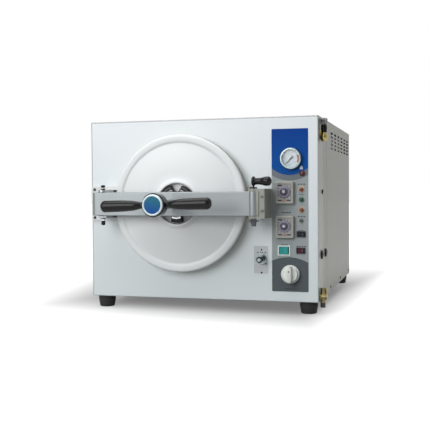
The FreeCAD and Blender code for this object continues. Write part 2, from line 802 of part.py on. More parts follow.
# ---- chamber group ----
def make_chamber():
    outer_r = CHAMBER_R + CHAMBER_WALL
    front = -FLANGE_PROUD
    dish_in = CHAMBER_END + DISH_DEPTH
    dish_out = dish_in + DISH_WALL
    profile = [
        (CHAMBER_R, front),
        (FLANGE_R, front),
        (FLANGE_R, front + FLANGE_T),
        (outer_r, front + FLANGE_T),
        (outer_r, CHAMBER_END, dish_arc_point(outer_r, CHAMBER_END, dish_out)),
        (0, dish_out),
        (0, dish_in, dish_arc_point(CHAMBER_R, CHAMBER_END, dish_in)),
        (CHAMBER_R, CHAMBER_END),
    ]
    vessel = turned(profile, AXIS_X, AXIS_Z)
    groove = rod_y(GASKET_OUT_R + GAP, AXIS_X, AXIS_Z, front - 1, front + GROOVE_DEPTH)
    groove = groove.cut(rod_y(GASKET_IN_R - GAP, AXIS_X, AXIS_Z, front - 2, front + GROOVE_DEPTH + 1))
    bosses = []
    for x, z in chamber_ports():
        bosses.append(rod_y(2 * PIPE_R, x, z, CHAMBER_END, dish_out + PORT_BOSS_PROUD))
    bore = rod_y(CHAMBER_R, AXIS_X, AXIS_Z, 0, CHAMBER_END)
    inner_arc = dish_arc_point(CHAMBER_R, CHAMBER_END, dish_in)
    inner_profile = [(0, CHAMBER_END), (CHAMBER_R, CHAMBER_END, inner_arc), (0, dish_in)]
    inner_ball = turned(inner_profile, AXIS_X, AXIS_Z)
    vessel = vessel.fuse(bosses).removeSplitter().cut([groove, bore, inner_ball])
    holes = [rod_y(PIPE_R / 2, x, z, CHAMBER_END, dish_out + 5) for x, z in chamber_ports()]
    for side in (-1, 1):
        holes.append(rod_y(ELEMENT_R + RUN_FIT, AXIS_X + side * ELEMENT_HALF_W, AXIS_Z - ELEMENT_DROP,
                           CHAMBER_END - 5, dish_out + 1))
    save("chamber", vessel.cut(holes))


def chamber_ports():
    """Steam port high and water port low on the dished end."""
    return tuple((AXIS_X + x, AXIS_Z + z) for x, z in (STEAM_PORT, WATER_PORT))


def make_gasket():
    front = DOOR_BACK
    back = -FLANGE_PROUD + GROOVE_DEPTH
    ring = rod_y(GASKET_OUT_R, AXIS_X, AXIS_Z, front, back)
    ring = ring.cut(rod_y(GASKET_IN_R, AXIS_X, AXIS_Z, front - 1, back + 1))
    save("door_gasket", ring.makeFillet(GASKET_EDGE_R, edges_at_y(ring, front)))


def make_insulation():
    inner = CHAMBER_R + CHAMBER_WALL + GAP
    sleeve = rod_y(inner + INSULATION_T, AXIS_X, AXIS_Z, INSULATION_START, INSULATION_END)
    save("insulation", sleeve.cut(rod_y(inner, AXIS_X, AXIS_Z, INSULATION_START - 1, INSULATION_END + 1)))


def make_heating_element():
    z = AXIS_Z - ELEMENT_DROP
    tail = CHAMBER_END + DISH_DEPTH
    left = AXIS_X - ELEMENT_HALF_W
    right = AXIS_X + ELEMENT_HALF_W
    path = [
        Vec(left, tail, z),
        Vec(left, ELEMENT_FRONT, z),
        Vec(right, ELEMENT_FRONT, z),
        Vec(right, tail, z),
    ]
    loop = bent_pipe(path, ELEMENT_R, ELEMENT_BEND)
    nut_y = tail - GLAND_INSET
    nuts = [rod_y(GLAND_R, x, z, nut_y, nut_y + GLAND_L) for x in (left, right)]
    save("heating_element", join(loop, *nuts))


def make_tray_rack():
    wall_gap = CHAMBER_R - GAP
    outer = RACK_HALF_W + RACK_SHEET
    low = -math.sqrt(wall_gap ** 2 - outer ** 2)
    pieces = []
    for side in (-1, 1):
        x_in = AXIS_X + side * RACK_HALF_W
        x_out = AXIS_X + side * outer
        pieces.append(block(min(x_in, x_out), max(x_in, x_out), RACK_START, RACK_END,
                            AXIS_Z + low, AXIS_Z + RACK_TOP))
        x_tip = AXIS_X + side * (RACK_HALF_W - LEDGE_W)
        for height in LEDGE_HEIGHTS:
            pieces.append(block(min(x_in, x_tip), max(x_in, x_tip), RACK_START, RACK_END,
                                AXIS_Z + height - LEDGE_T, AXIS_Z + height))
    for y in (RACK_START, RACK_END - RACK_FOOT_W):
        pieces.append(block(AXIS_X - RACK_HALF_W, AXIS_X + RACK_HALF_W, y, y + RACK_FOOT_W,
                            AXIS_Z + low, AXIS_Z + low + RACK_SHEET))
    rack = join(*pieces)
    windows = []
    levels = (low, *LEDGE_HEIGHTS, RACK_TOP)
    window_d = (RACK_END - RACK_START - (RACK_WINDOWS + 1) * RACK_POST) / RACK_WINDOWS
    for index in range(RACK_WINDOWS):
        y = RACK_START + RACK_POST + index * (window_d + RACK_POST)
        for z0, z1 in zip(levels, levels[1:]):
            windows.append(block(AXIS_X - outer - 1, AXIS_X + outer + 1, y, y + window_d,
                                 AXIS_Z + z0 + RACK_RAIL, AXIS_Z + z1 - RACK_RAIL))
    save("tray_rack", rack.cut(windows))


def make_trays():
    half = RACK_HALF_W - SLOT_GAP
    for node, height in zip(("lower_tray", "upper_tray"), LEDGE_HEIGHTS):
        z0 = AXIS_Z + height
        y0 = RACK_START + TRAY_END_GAP
        y1 = RACK_END - TRAY_END_GAP
        pan = block(AXIS_X - half, AXIS_X + half, y0, y1, z0, z0 + TRAY_H)
        pan = pan.makeFillet(TRAY_CORNER_R, edges_along(pan, Z_AXIS))
        inside = block(AXIS_X - half + TRAY_T, AXIS_X + half - TRAY_T, y0 + TRAY_T, y1 - TRAY_T,
                       z0 + TRAY_T, z0 + TRAY_H + 1)
        inside = inside.makeFillet(TRAY_CORNER_R - TRAY_T, edges_along(inside, Z_AXIS))
        holes = []
        rows = int((y1 - y0 - 2 * TRAY_HOLE_MARGIN) / TRAY_HOLE_PITCH) + 1
        for column in (-1, 0, 1):
            hole_x = AXIS_X + column * TRAY_HOLE_PITCH
            for row in range(rows):
                y = y0 + TRAY_HOLE_MARGIN + row * TRAY_HOLE_PITCH
                holes.append(rod_z(TRAY_HOLE_R, hole_x, y, z0 - 1, z0 + TRAY_T + 1))
        save(node, pan.cut([inside] + holes))


def make_water_tank():
    shell = block(TANK_X0, TANK_X1, TANK_Y0, TANK_Y1, TANK_Z0, TANK_Z1)
    shell = shell.makeFillet(TANK_CORNER_R, edges_along(shell, Z_AXIS))
    inside = block(TANK_X0 + TANK_WALL, TANK_X1 - TANK_WALL, TANK_Y0 + TANK_WALL, TANK_Y1 - TANK_WALL,
                   TANK_Z0 + TANK_WALL, TANK_Z1 - TANK_WALL)
    neck = rod_z(NECK_R, NECK_X, NECK_Y, TANK_Z1 - TANK_WALL, CASE_H + NECK_RISE)
    legs = []
    for x in (TANK_X0 + TANK_LEG_INSET, TANK_X1 - TANK_LEG_INSET - TANK_LEG):
        for y in (TANK_Y0 + TANK_LEG_INSET, TANK_Y1 - TANK_LEG_INSET - TANK_LEG):
            legs.append(block(x, x + TANK_LEG, y, y + TANK_LEG, BASE_T, TANK_Z0 + TANK_WALL))
    neck_bore = rod_z(NECK_BORE_R, NECK_X, NECK_Y, TANK_Z1 - TANK_WALL - 1, CASE_H + NECK_RISE + 1)
    outlet = rod_y(PIPE_R + RUN_FIT, OUTLET_X, OUTLET_Z, TANK_Y1 - TANK_WALL - 1, TANK_Y1 + 1)
    save("water_tank", join(shell.cut(inside), neck, *legs).cut([neck_bore, outlet]))


def make_tank_cap():
    z0 = CASE_H + NECK_RISE
    top = rod_z(CAP_R, NECK_X, NECK_Y, z0, z0 + CAP_H)
    rim = [e for e in top.Edges if abs(e.BoundBox.ZMin - (z0 + CAP_H)) < 1e-4]
    top = top.makeFillet(CAP_EDGE_R, rim)
    flutes = []
    reach = CAP_R + CAP_FLUTE_R / 2
    for index in range(CAP_RIBS):
        angle = 2 * math.pi * index / CAP_RIBS
        flutes.append(rod_z(CAP_FLUTE_R, NECK_X + reach * math.cos(angle), NECK_Y + reach * math.sin(angle),
                            z0 - 1, z0 + CAP_H + 1))
    plug = rod_z(NECK_BORE_R - GAP, NECK_X, NECK_Y, z0 - CAP_PLUG, z0)
    save("tank_cap", join(top.cut(flutes), plug))


# ---- door group ----
def make_door():
    inner_dome = DOME_TOP + DOOR_SHELL
    boss_top = DOME_TOP - BOSS_H
    mid_r = (DOME_EDGE_R + DOME_TOP_R) / 2
    boss_mid = (BOSS_IN_R - BOSS_ROUND * 0.707, boss_top + BOSS_ROUND * 0.293)
    profile = [
        (0, RECESS_FLOOR),
        (RECESS_FLOOR_R, RECESS_FLOOR),
        (BOSS_IN_R - BOSS_ROUND, boss_top + BOSS_ROUND, boss_mid),
        (BOSS_IN_R, boss_top),
        (BOSS_OUT_R, boss_top, (RECESS_R, boss_top + BOSS_H * 0.4)),
        (RECESS_R + 3, DOME_TOP),
        (DOME_TOP_R, DOME_TOP, (mid_r, DOME_TOP + DOME_H * 0.32)),
        (DOME_EDGE_R, DOOR_FRONT + RIM_STEP),
        (DOME_EDGE_R + 1, DOOR_FRONT + RIM_STEP),
        (RIM_IN_R, DOOR_FRONT),
        (DOOR_R - DOOR_EDGE_R, DOOR_FRONT, (DOOR_R - DOOR_EDGE_R * 0.293, DOOR_FRONT + DOOR_EDGE_R * 0.293)),
        (DOOR_R, DOOR_FRONT + DOOR_EDGE_R),
        (DOOR_R, DOOR_BACK),
        (SEAL_IN_R, DOOR_BACK),
        (SEAL_IN_R - 6, DOOR_FRONT + RIM_STEP + DOOR_SHELL,
         (mid_r, inner_dome + DOME_H * 0.36)),
        (DOME_TOP_R, inner_dome),
        (RECESS_R + 2, inner_dome),
        (RECESS_FLOOR_R + 2, RECESS_FLOOR + DOOR_SHELL),
        (0, RECESS_FLOOR + DOOR_SHELL),
    ]
    save("door", turned(profile, AXIS_X, AXIS_Z))


def make_thrust_collar():
    disc = rod_y(COLLAR_R, AXIS_X, AXIS_Z, COLLAR_FRONT, RECESS_FLOOR)
    disc = disc.makeFillet(COLLAR_EDGE_R, edges_at_y(disc, COLLAR_FRONT))
    button_y = RECESS_FLOOR - GAP - SPINDLE_BUTTON_T - GAP
    cuts = [
        rod_y(SPINDLE_BUTTON_R + SLOT_GAP, AXIS_X, AXIS_Z, button_y, RECESS_FLOOR + 1),
        rod_y(SPINDLE_R + SLOT_GAP, AXIS_X, AXIS_Z, COLLAR_FRONT - 1, button_y + 1),
    ]
    for index in range(COLLAR_NOTCHES):
        angle = math.pi / 2 + 2 * math.pi * index / COLLAR_NOTCHES
        x = AXIS_X + COLLAR_R * math.cos(angle)
        z = AXIS_Z + COLLAR_R * math.sin(angle)
        cuts.append(rod_y(COLLAR_NOTCH_R, x, z, COLLAR_FRONT - 1, RECESS_FLOOR + 1))
    save("thrust_collar", disc.cut(cuts))


# ---- cross bar, hinge and latch ----
def bar_outline(front, back, x0, x1):
    """Plan of the bent bar between two stations; front and back are offsets from its middle line."""
    def middle(x):
        span = AXIS_X - HINGE_X if x < AXIS_X else LATCH_X - AXIS_X
        return RIDGE_Y + BAR_BEND * abs(x - AXIS_X) / span

    stations = [x0, AXIS_X, x1] if x0 < AXIS_X < x1 else [x0, x1]
    forward = [(x, middle(x) - front) for x in stations]
    rear = [(x, middle(x) + back) for x in reversed(stations)]
    return forward + rear


def make_crossbar():
    half = BAR_T / 2
    left_end = HINGE_X - HINGE_STUB + half
    body = prism(bar_outline(half, half, HINGE_X, LATCH_X), BAR_Z0, BAR_Z1)
    stub = block(left_end, HINGE_X, HINGE_Y - half, HINGE_Y + half, BAR_Z0, BAR_Z1)
    nose = rod_z(half, left_end, HINGE_Y, BAR_Z0, BAR_Z1)
    barrel = rod_z(LATCH_BARREL_R, LATCH_X, HINGE_Y, BAR_Z0, BAR_Z1)
    bar = join(body, stub, nose, barrel)
    long_edges = [e for e in bar.Edges if abs(e.BoundBox.ZMin - e.BoundBox.ZMax) < 1e-6]
    bar = bar.makeFillet(BAR_EDGE_R, long_edges)
    cuts = []
    pockets = ((HINGE_X + BAR_END_SOLID, AXIS_X - BAR_BOSS), (AXIS_X + BAR_BOSS, LATCH_X - BAR_END_SOLID))
    for x0, x1 in pockets:
        pocket = prism(bar_outline(half - BAR_WALL, half + 1, x0, x1), BAR_Z0 + BAR_WALL, BAR_Z1 - BAR_WALL)
        cuts.append(pocket)
    cuts.append(rod_z(HINGE_PIN_R + RUN_FIT, HINGE_X, HINGE_Y, BAR_Z0 - 1, BAR_Z1 + 1))
    cuts.append(rod_z(LATCH_HOLE_R, LATCH_X, HINGE_Y, BAR_Z0 - 1, BAR_Z1 + 1))
    cuts.append(block(LATCH_X - LATCH_MOUTH_IN, LATCH_X + LATCH_MOUTH_OUT,
                      HINGE_Y, HINGE_Y + LATCH_BARREL_R + 1, BAR_Z0 - 1, BAR_Z1 + 1))
    cuts.append(rod_y(SPINDLE_R + RUN_FIT, AXIS_X, AXIS_Z, RIDGE_Y - BAR_T, RIDGE_Y + BAR_T))
    save("crossbar", bar.cut(cuts))


def make_hinge_bracket():
    plate = soft_block(BRACKET_X0, BRACKET_X1, -BRACKET_T, 0,
                       AXIS_Z - BRACKET_HALF_H, AXIS_Z + BRACKET_HALF_H, BRACKET_CORNER_R)
    lugs = []
    root_x = HINGE_X - LUG_ROOT
    root_y = HINGE_Y + LUG_ROOT
    corners = [
        (root_x, -BRACKET_T),
        (BRACKET_X1, -BRACKET_T),
        (BRACKET_X1, root_y),
        (HINGE_X + LUG_NOSE_R, HINGE_Y),
        (HINGE_X - LUG_NOSE_R, HINGE_Y),
        (root_x, root_y),
    ]
    for z in LUG_ZS:
        lugs.append(prism(corners, z, z + LUG_T))
        lugs.append(rod_z(LUG_NOSE_R, HINGE_X, HINGE_Y, z, z + LUG_T))
    bracket = join(plate, *lugs)
    pin_hole = rod_z(HINGE_PIN_R + RUN_FIT, HINGE_X, HINGE_Y, LUG_ZS[0] - 1, LUG_TOP + 1)
    save("hinge_bracket", bracket.cut([pin_hole] + screw_holes()))


def make_hinge_pin():
    pin = rod_z(HINGE_PIN_R, HINGE_X, HINGE_Y, HINGE_PIN_LOW, HINGE_PIN_TOP)
    cap = rod_z(HINGE_PIN_CAP_R, HINGE_X, HINGE_Y, LUG_TOP, HINGE_PIN_TOP)
    cap = cap.makeFillet(BAR_EDGE_R, [e for e in cap.Edges if abs(e.BoundBox.ZMin - HINGE_PIN_TOP) < 1e-4])
    clip = rod_z(HINGE_PIN_CAP_R, HINGE_X, HINGE_Y, LUG_ZS[0] - HINGE_CLIP_H, LUG_ZS[0])
    save("hinge_pin", join(pin, cap, clip))


def make_latch_bracket():
    base = soft_block(LATCH_X, LATCH_WALL_X1, -BRACKET_T, 0, LUG_ZS[0], LUG_TOP, BRACKET_CORNER_R)
    wall = block(LATCH_WALL_X0, LATCH_WALL_X1, -LATCH_WALL_FRONT, 0, LUG_ZS[0], LUG_TOP)
    wall = wall.makeFillet(BRACKET_CORNER_R, [e for e in edges_along(wall, Z_AXIS) if e.BoundBox.YMax < -1])
    lugs = []
    wall_middle = (LATCH_WALL_X0 + LATCH_WALL_X1) / 2
    for z in LUG_ZS:
        lugs.append(rod_z(LUG_NOSE_R, LATCH_X, HINGE_Y, z, z + LUG_T))
        lugs.append(block(LATCH_X, wall_middle, HINGE_Y - LUG_NOSE_R + BAR_EDGE_R, HINGE_Y + LUG_ROOT,
                          z, z + LUG_T))
    bracket = join(base, wall, *lugs)
    pin_hole = rod_z(LATCH_PIN_R + RUN_FIT, LATCH_X, HINGE_Y, LUG_ZS[0] - 1, LUG_TOP + 1)
    save("latch_bracket", bracket.cut([pin_hole] + screw_holes()))


def lever_direction():
    angle = math.radians(LATCH_LEVER_ANGLE)
    return Vec(math.cos(angle), math.sin(angle), 0)


def make_latch():
    pin = rod_z(LATCH_PIN_R, LATCH_X, HINGE_Y, LATCH_PIN_LOW + LATCH_TIP_H, LUG_TOP)
    tip = Part.makeCone(LATCH_TIP_R, LATCH_PIN_R, LATCH_TIP_H, Vec(LATCH_X, HINGE_Y, LATCH_PIN_LOW), Z_AXIS)
    collar = rod_z(LATCH_COLLAR_R, LATCH_X, HINGE_Y, LUG_TOP + GAP, LUG_TOP + LATCH_COLLAR_H)
    neck = rod_z(LATCH_NECK_R, LATCH_X, HINGE_Y, LUG_TOP, LATCH_LEVER_Z)
    cross_z = LUG_ZS[0] - LATCH_CROSS_DROP
    cross = rod_x(LATCH_CROSS_R, HINGE_Y, cross_z, LATCH_X - LATCH_CROSS_HALF, LATCH_X + LATCH_CROSS_HALF)
    pin = join(pin, tip, collar, neck, cross)
    flats = []
    for side in (-1, 1):
        x0 = LATCH_X + side * LATCH_FLAT
        x1 = LATCH_X + side * LATCH_BARREL_R
        flats.append(block(min(x0, x1), max(x0, x1), HINGE_Y - LATCH_BARREL_R, HINGE_Y + LATCH_BARREL_R,
                           BAR_Z0 - GAP, BAR_Z1 + GAP))
    save("latch_pin", pin.cut(flats))

    way = lever_direction()
    hub = Vec(LATCH_X, HINGE_Y, LATCH_LEVER_Z)
    disc = rod(LATCH_DISC_R, hub - way * (LATCH_DISC_T / 2), hub + way * (LATCH_DISC_T / 2))
    stem_l = LATCH_GRIP_L - LATCH_GRIP_R1
    stem = Part.makeCone(LATCH_GRIP_R0, LATCH_GRIP_R1, stem_l, hub, way)
    ball = Part.makeSphere(LATCH_GRIP_R1, hub + way * stem_l)
    grip = join(disc, stem, ball)
    socket = rod_z(LATCH_NECK_R + RUN_FIT, LATCH_X, HINGE_Y, LUG_TOP, LATCH_LEVER_Z + RUN_FIT)
    clear_collar = rod_z(LATCH_COLLAR_R + HOLE_GAP, LATCH_X, HINGE_Y, LUG_TOP, LUG_TOP + LATCH_COLLAR_H)
    save("latch_grip", grip.cut([socket, clear_collar]))


# ---- spindle and T handle ----
def make_spindle():
    y_tip = RECESS_FLOOR - GAP
    shaft = rod_y(SPINDLE_R, AXIS_X, AXIS_Z, HUB_FACE_T - HUB_FRONT, y_tip)
    button = rod_y(SPINDLE_BUTTON_R, AXIS_X, AXIS_Z, y_tip - SPINDLE_BUTTON_T, y_tip)
    save("spindle", join(shaft, button))


def handle_turned(shape):
    shape = shape.copy()
    shape.rotate(Vec(AXIS_X, GRIP_Y, AXIS_Z), Y_AXIS, -HANDLE_TILT)
    return shape


def make_handle():
    hub = rod_y(HUB_R, AXIS_X, AXIS_Z, -HUB_FRONT, -HUB_BACK)
    hub = hub.makeFillet(HUB_EDGE_R, edges_at_y(hub, -HUB_BACK))
    cuts = [rod_y(SPINDLE_R + RUN_FIT, AXIS_X, AXIS_Z, HUB_FACE_T - HUB_FRONT - RUN_FIT, 0)]
    for side in (-1, 1):
        x0 = AXIS_X + side * (HUB_R - HUB_SOCKET)
        x1 = AXIS_X + side * (HUB_R + HUB_SOCKET)
        cuts.append(handle_turned(rod_x(GRIP_NECK_R + RUN_FIT, GRIP_Y, AXIS_Z, x0, x1)))
    save("handle_hub", hub.cut(cuts))

    cap = rod_y(HUB_CAP_R, AXIS_X, AXIS_Z, -FRONT_REACH, -HUB_FRONT)
    cap = cap.makeFillet(HUB_CAP_EDGE_R, edges_at_y(cap, -FRONT_REACH))
    recess = rod_y(BADGE_R, AXIS_X, AXIS_Z, -FRONT_REACH - 1, -FRONT_REACH + BADGE_SINK)
    save("hub_cap", cap.cut(recess))

    profile = [
        (HUB_R - GRIP_ROOT_SINK, 0),
        (HUB_R - GRIP_ROOT_SINK, GRIP_NECK_R),
        (GRIP_NECK_END, GRIP_NECK_R),
        (GRIP_NECK_END + GRIP_SHOULDER, GRIP_MID_R),
        (GRIP_END - GRIP_FULL, GRIP_R),
        (GRIP_END - GRIP_TIP, GRIP_R),
        (GRIP_END, GRIP_TIP_R),
        (GRIP_END, 0),
    ]
    for side, node in ((-1, "left_grip"), (1, "right_grip")):
        corners = [Vec(AXIS_X + side * along, GRIP_Y, AXIS_Z + r) for along, r in profile]
        face = Part.Face(Part.makePolygon(corners + corners[:1]))
        grip = face.revolve(Vec(AXIS_X, GRIP_Y, AXIS_Z), X_AXIS, 360)
        end_x = AXIS_X + side * (GRIP_END - GRIP_TIP)
        circles = [e for e in grip.Edges if isinstance(e.Curve, Part.Circle)]
        rim = [e for e in circles if abs(e.Curve.Center.x - end_x) < 1e-4]
        grip = grip.makeFillet(GRIP_TIP_EDGE_R, rim)
        save(node, handle_turned(grip))


# ---- control panel ----
def make_control_panel():
    plate = soft_block(STRIP_X0, STRIP_X1, PANEL_FACE, 0, STRIP_Z0, STRIP_Z1, STRIP_CORNER_R)
    save("control_panel", plate.cut(control_apertures()))


def make_gauge():
    x, z = on_strip(GAUGE_PLACE)
    front = -GAUGE_PROUD
    dial_y = -GAUGE_CAVITY
    bezel = rod_y(GAUGE_R, x, z, front, PANEL_FACE)
    bezel = bezel.makeFillet(GAUGE_EDGE_R, edges_at_y(bezel, front))
    barrel = rod_y(GAUGE_BODY_R, x, z, PANEL_FACE, GAUGE_BODY_L)
    socket = rod_y(GAUGE_SOCKET_R, x, z, GAUGE_BODY_L, GAUGE_BODY_L + GAUGE_SOCKET_L)
    stem_hole = NEEDLE_STEM_R + GAP
    glass_y = front + GAUGE_GLASS_LIP
    cuts = [
        rod_y(GAUGE_GLASS_R + RUN_FIT, x, z, glass_y, dial_y),
        rod_y(GAUGE_GLASS_R - GAUGE_GLASS_LIP, x, z, front - 1, glass_y + 1),
        rod_y(stem_hole, x, z, dial_y - 1, NEEDLE_LIFT + GAUGE_GLASS_T),
    ]
    save("gauge_case", join(bezel, barrel, socket).cut(cuts))
    save("gauge_glass", rod_y(GAUGE_GLASS_R, x, z, glass_y, glass_y + GAUGE_GLASS_T))
    dial = rod_y(GAUGE_GLASS_R, x, z, dial_y - GAUGE_DIAL_T, dial_y)
    save("gauge_dial", dial.cut(rod_y(stem_hole, x, z, dial_y - GAUGE_DIAL_T - 1, dial_y + 1)))

    y0 = dial_y - NEEDLE_LIFT
    hub = rod_y(NEEDLE_HUB_R, x, z, y0 - NEEDLE_T / 2, y0 + 2 * NEEDLE_T)
    stem = rod_y(NEEDLE_STEM_R, x, z, y0, NEEDLE_LIFT)
    corners = [
        (NEEDLE_L, -NEEDLE_TIP_HALF),
        (NEEDLE_L, NEEDLE_TIP_HALF),
        (0, NEEDLE_MID_HALF),
        (-NEEDLE_TAIL, NEEDLE_TAIL_HALF),
        (-NEEDLE_TAIL, -NEEDLE_TAIL_HALF),
        (0, -NEEDLE_MID_HALF),
    ]
    blade_points = [Vec(x + along, y0, z + across) for along, across in corners]
    blade = Part.Face(Part.makePolygon(blade_points + blade_points[:1])).extrude(Vec(0, NEEDLE_T, 0))
    blade.rotate(Vec(x, y0, z), Y_AXIS, -NEEDLE_ZERO)
    save("gauge_needle", join(hub, stem, blade))


def make_timer(name, place):
    x, z = on_strip(place)
    front = PANEL_FACE - TIMER_PROUD
    face = soft_block(x - TIMER_W / 2, x + TIMER_W / 2, front, PANEL_FACE, z - TIMER_H / 2, z + TIMER_H / 2,
                      TIMER_CORNER_R, TIMER_EDGE_R)
    rear = block(x - TIMER_BODY_W / 2, x + TIMER_BODY_W / 2, PANEL_FACE, TIMER_BODY_L,
                 z - TIMER_BODY_H / 2, z + TIMER_BODY_H / 2)
    knob_z = z + TIMER_KNOB_RISE
    bore = rod_y(DIAL_STEM_R + RUN_FIT, x, knob_z, front - 1, DIAL_STEM_L + HOLE_GAP)
    save(name + "_timer_body", join(face, rear).cut(bore))

    dial_back = front - GAP
    dial_front = dial_back - DIAL_T
    tip = dial_front - DIAL_KNOB_L
    dial = rod_y(DIAL_R, x, knob_z, dial_front, dial_back)
    grip = rod_y(DIAL_KNOB_R, x, knob_z, tip, dial_front)
    grip = grip.makeFillet(1.0, edges_at_y(grip, tip))
    stem = rod_y(DIAL_STEM_R, x, knob_z, dial_back, DIAL_STEM_L)
    flats = []
    for side in (-1, 1):
        x0 = x + side * DIAL_GRIP_HALF
        x1 = x + side * DIAL_R
        flats.append(block(min(x0, x1), max(x0, x1), tip - 1, dial_front - DIAL_KNOB_BASE,
                           knob_z - DIAL_R, knob_z + DIAL_R))
    save(name + "_timer_knob", join(dial, grip, stem).cut(flats))


def make_lamps():
    for node, places in LAMP_PLACES.items():
        lamps = []
        for place in places:
            x, z = on_strip(place)
            ring_y = PANEL_FACE - LAMP_RING_T
            lens_y = PANEL_FACE - LAMP_PROUD
            ring = rod_y(LAMP_RING_R, x, z, ring_y, PANEL_FACE)
            ring = ring.makeFillet(0.4 * LAMP_RING_T, edges_at_y(ring, ring_y))
            lens = rod_y(LAMP_R, x, z, lens_y, LAMP_BODY_L)
            lens = lens.makeFillet(0.6 * LAMP_R, edges_at_y(lens, lens_y))
            lamps.append(join(ring, lens))
        save(node, Part.makeCompound(lamps) if len(lamps) > 1 else lamps[0])


def make_rocker(node, place, width, height, frame):
    """Save the paddle of one rocker switch and return its housing."""
    x, z = on_strip(place)
    half_w = width / 2 + SLOT_GAP
    half_h = height / 2 + SLOT_GAP
    flange = soft_block(x - half_w - frame, x + half_w + frame, PANEL_FACE - HOUSING_FLANGE, PANEL_FACE,
                        z - half_h - frame, z + half_h + frame, HOUSING_CORNER_R, HOUSING_EDGE_R)
    box = block(x - half_w - HOUSING_WALL, x + half_w + HOUSING_WALL, PANEL_FACE, HOUSING_L,
                z - half_h - HOUSING_WALL, z + half_h + HOUSING_WALL)
    pivot_y = PANEL_FACE + ROCKER_SINK
    floor_y = pivot_y + ROCKER_DEPTH + 2 * HOLE_GAP
    cavity = block(x - half_w, x + half_w, PANEL_FACE - HOUSING_L, floor_y, z - half_h, z + half_h)
    pin_hole = rod_z(ROCKER_PIN_R + RUN_FIT, x, pivot_y, z - half_h - 1, z + half_h + 1)

    reach = width / 2
    flat = ROCKER_SINK + HOUSING_FLANGE + ROCKER_DIP
    crown = ROCKER_SINK + HOUSING_FLANGE + ROCKER_CROWN
    corners = [(-reach, -crown), (0, -flat), (reach, -crown), (reach, ROCKER_DEPTH), (-reach, ROCKER_DEPTH)]
    points = [Vec(x + along, pivot_y + depth, z - height / 2) for along, depth in corners]
    paddle = Part.Face(Part.makePolygon(points + points[:1])).extrude(Vec(0, 0, height))
    paddle = paddle.common(rod_z(reach, x, pivot_y, z - height / 2, z + height / 2))
    trunnion = half_h + HOUSING_WALL / 2
    paddle = join(paddle, rod_z(ROCKER_PIN_R, x, pivot_y, z - trunnion, z + trunnion))
    paddle.rotate(Vec(x, pivot_y, z), Z_AXIS, -ROCKER_TILT)
    save(node, paddle)
    return join(flange, box).cut([cavity, pin_hole])


def make_switches():
    """Three rocker switches, the reset button and its bush."""
    housings = [make_rocker(node, *sizes) for node, sizes in ROCKERS.items()]
    x, z = on_strip(RESET_PLACE)
    bush_r = RESET_R + HOUSING_WALL
    bush = rod_y(bush_r, x, z, PANEL_FACE - HOUSING_EDGE_R, HOUSING_L)
    rim = rod_y(bush_r + HOUSING_WALL, x, z, PANEL_FACE - HOUSING_EDGE_R, PANEL_FACE)
    bore = rod_y(RESET_R + RUN_FIT, x, z, PANEL_FACE - RESET_PROUD, HOUSING_L - HOUSING_WALL)
    housings.append(join(bush, rim).cut(bore))
    save("switch_housings", Part.makeCompound(housings))

    tip = PANEL_FACE - RESET_PROUD
    button = rod_y(RESET_R, x, z, tip, HOUSING_L - 2 * RESET_PROUD)
    save("reset_button", button.makeFillet(HOUSING_EDGE_R, edges_at_y(button, tip)))


def make_toggle():
    plate = soft_block(PLATE_X0, PLATE_X1, PANEL_FACE, 0, PLATE_Z0, PLATE_Z0 + PLATE_H, STRIP_CORNER_R)
    save("toggle_plate", plate.cut(toggle_aperture()))

    can_w, can_d, can_h = TOGGLE_CAN
    can_y = TOGGLE_BUSH_PROUD
    ring = rod_y(TOGGLE_RING_R, TOGGLE_X, TOGGLE_Z, PANEL_FACE - TOGGLE_RING_T, PANEL_FACE)
    ring = ring.makeFillet(TOGGLE_RING_T / 3, edges_at_y(ring, PANEL_FACE - TOGGLE_RING_T))
    collar = rod_y(TOGGLE_BUSH_R, TOGGLE_X, TOGGLE_Z, PANEL_FACE - TOGGLE_BUSH_PROUD, can_y)
    can = block(TOGGLE_X - can_w / 2, TOGGLE_X + can_w / 2, can_y, can_y + can_d,
                TOGGLE_Z - can_h / 2, TOGGLE_Z + can_h / 2)
    cavity = rod_y(TOGGLE_BORE_R, TOGGLE_X, TOGGLE_Z,
                   PANEL_FACE - TOGGLE_BUSH_PROUD - 1, can_y - 2 * HOLE_GAP)
    pin_reach = (TOGGLE_BORE_R + TOGGLE_BUSH_R) / 2
    pin = (-TOGGLE_PIVOT, TOGGLE_Z, TOGGLE_X - pin_reach, TOGGLE_X + pin_reach)
    save("toggle_bush", join(ring, collar, can).cut([cavity, rod_x(TOGGLE_PIN_R + RUN_FIT, *pin)]))

    pivot = Vec(TOGGLE_X, -TOGGLE_PIVOT, TOGGLE_Z)
    tip = pivot - Y_AXIS * TOGGLE_L
    stalk = rod(TOGGLE_STALK_R, tip, pivot + Y_AXIS * TOGGLE_BUSH_PROUD)
    ball = Part.makeSphere(TOGGLE_BALL_R, tip)
    knuckle = Part.makeSphere(TOGGLE_KNUCKLE_R, pivot)
    save("toggle_lever", join(stalk, ball, knuckle, rod_x(TOGGLE_PIN_R, *pin)))


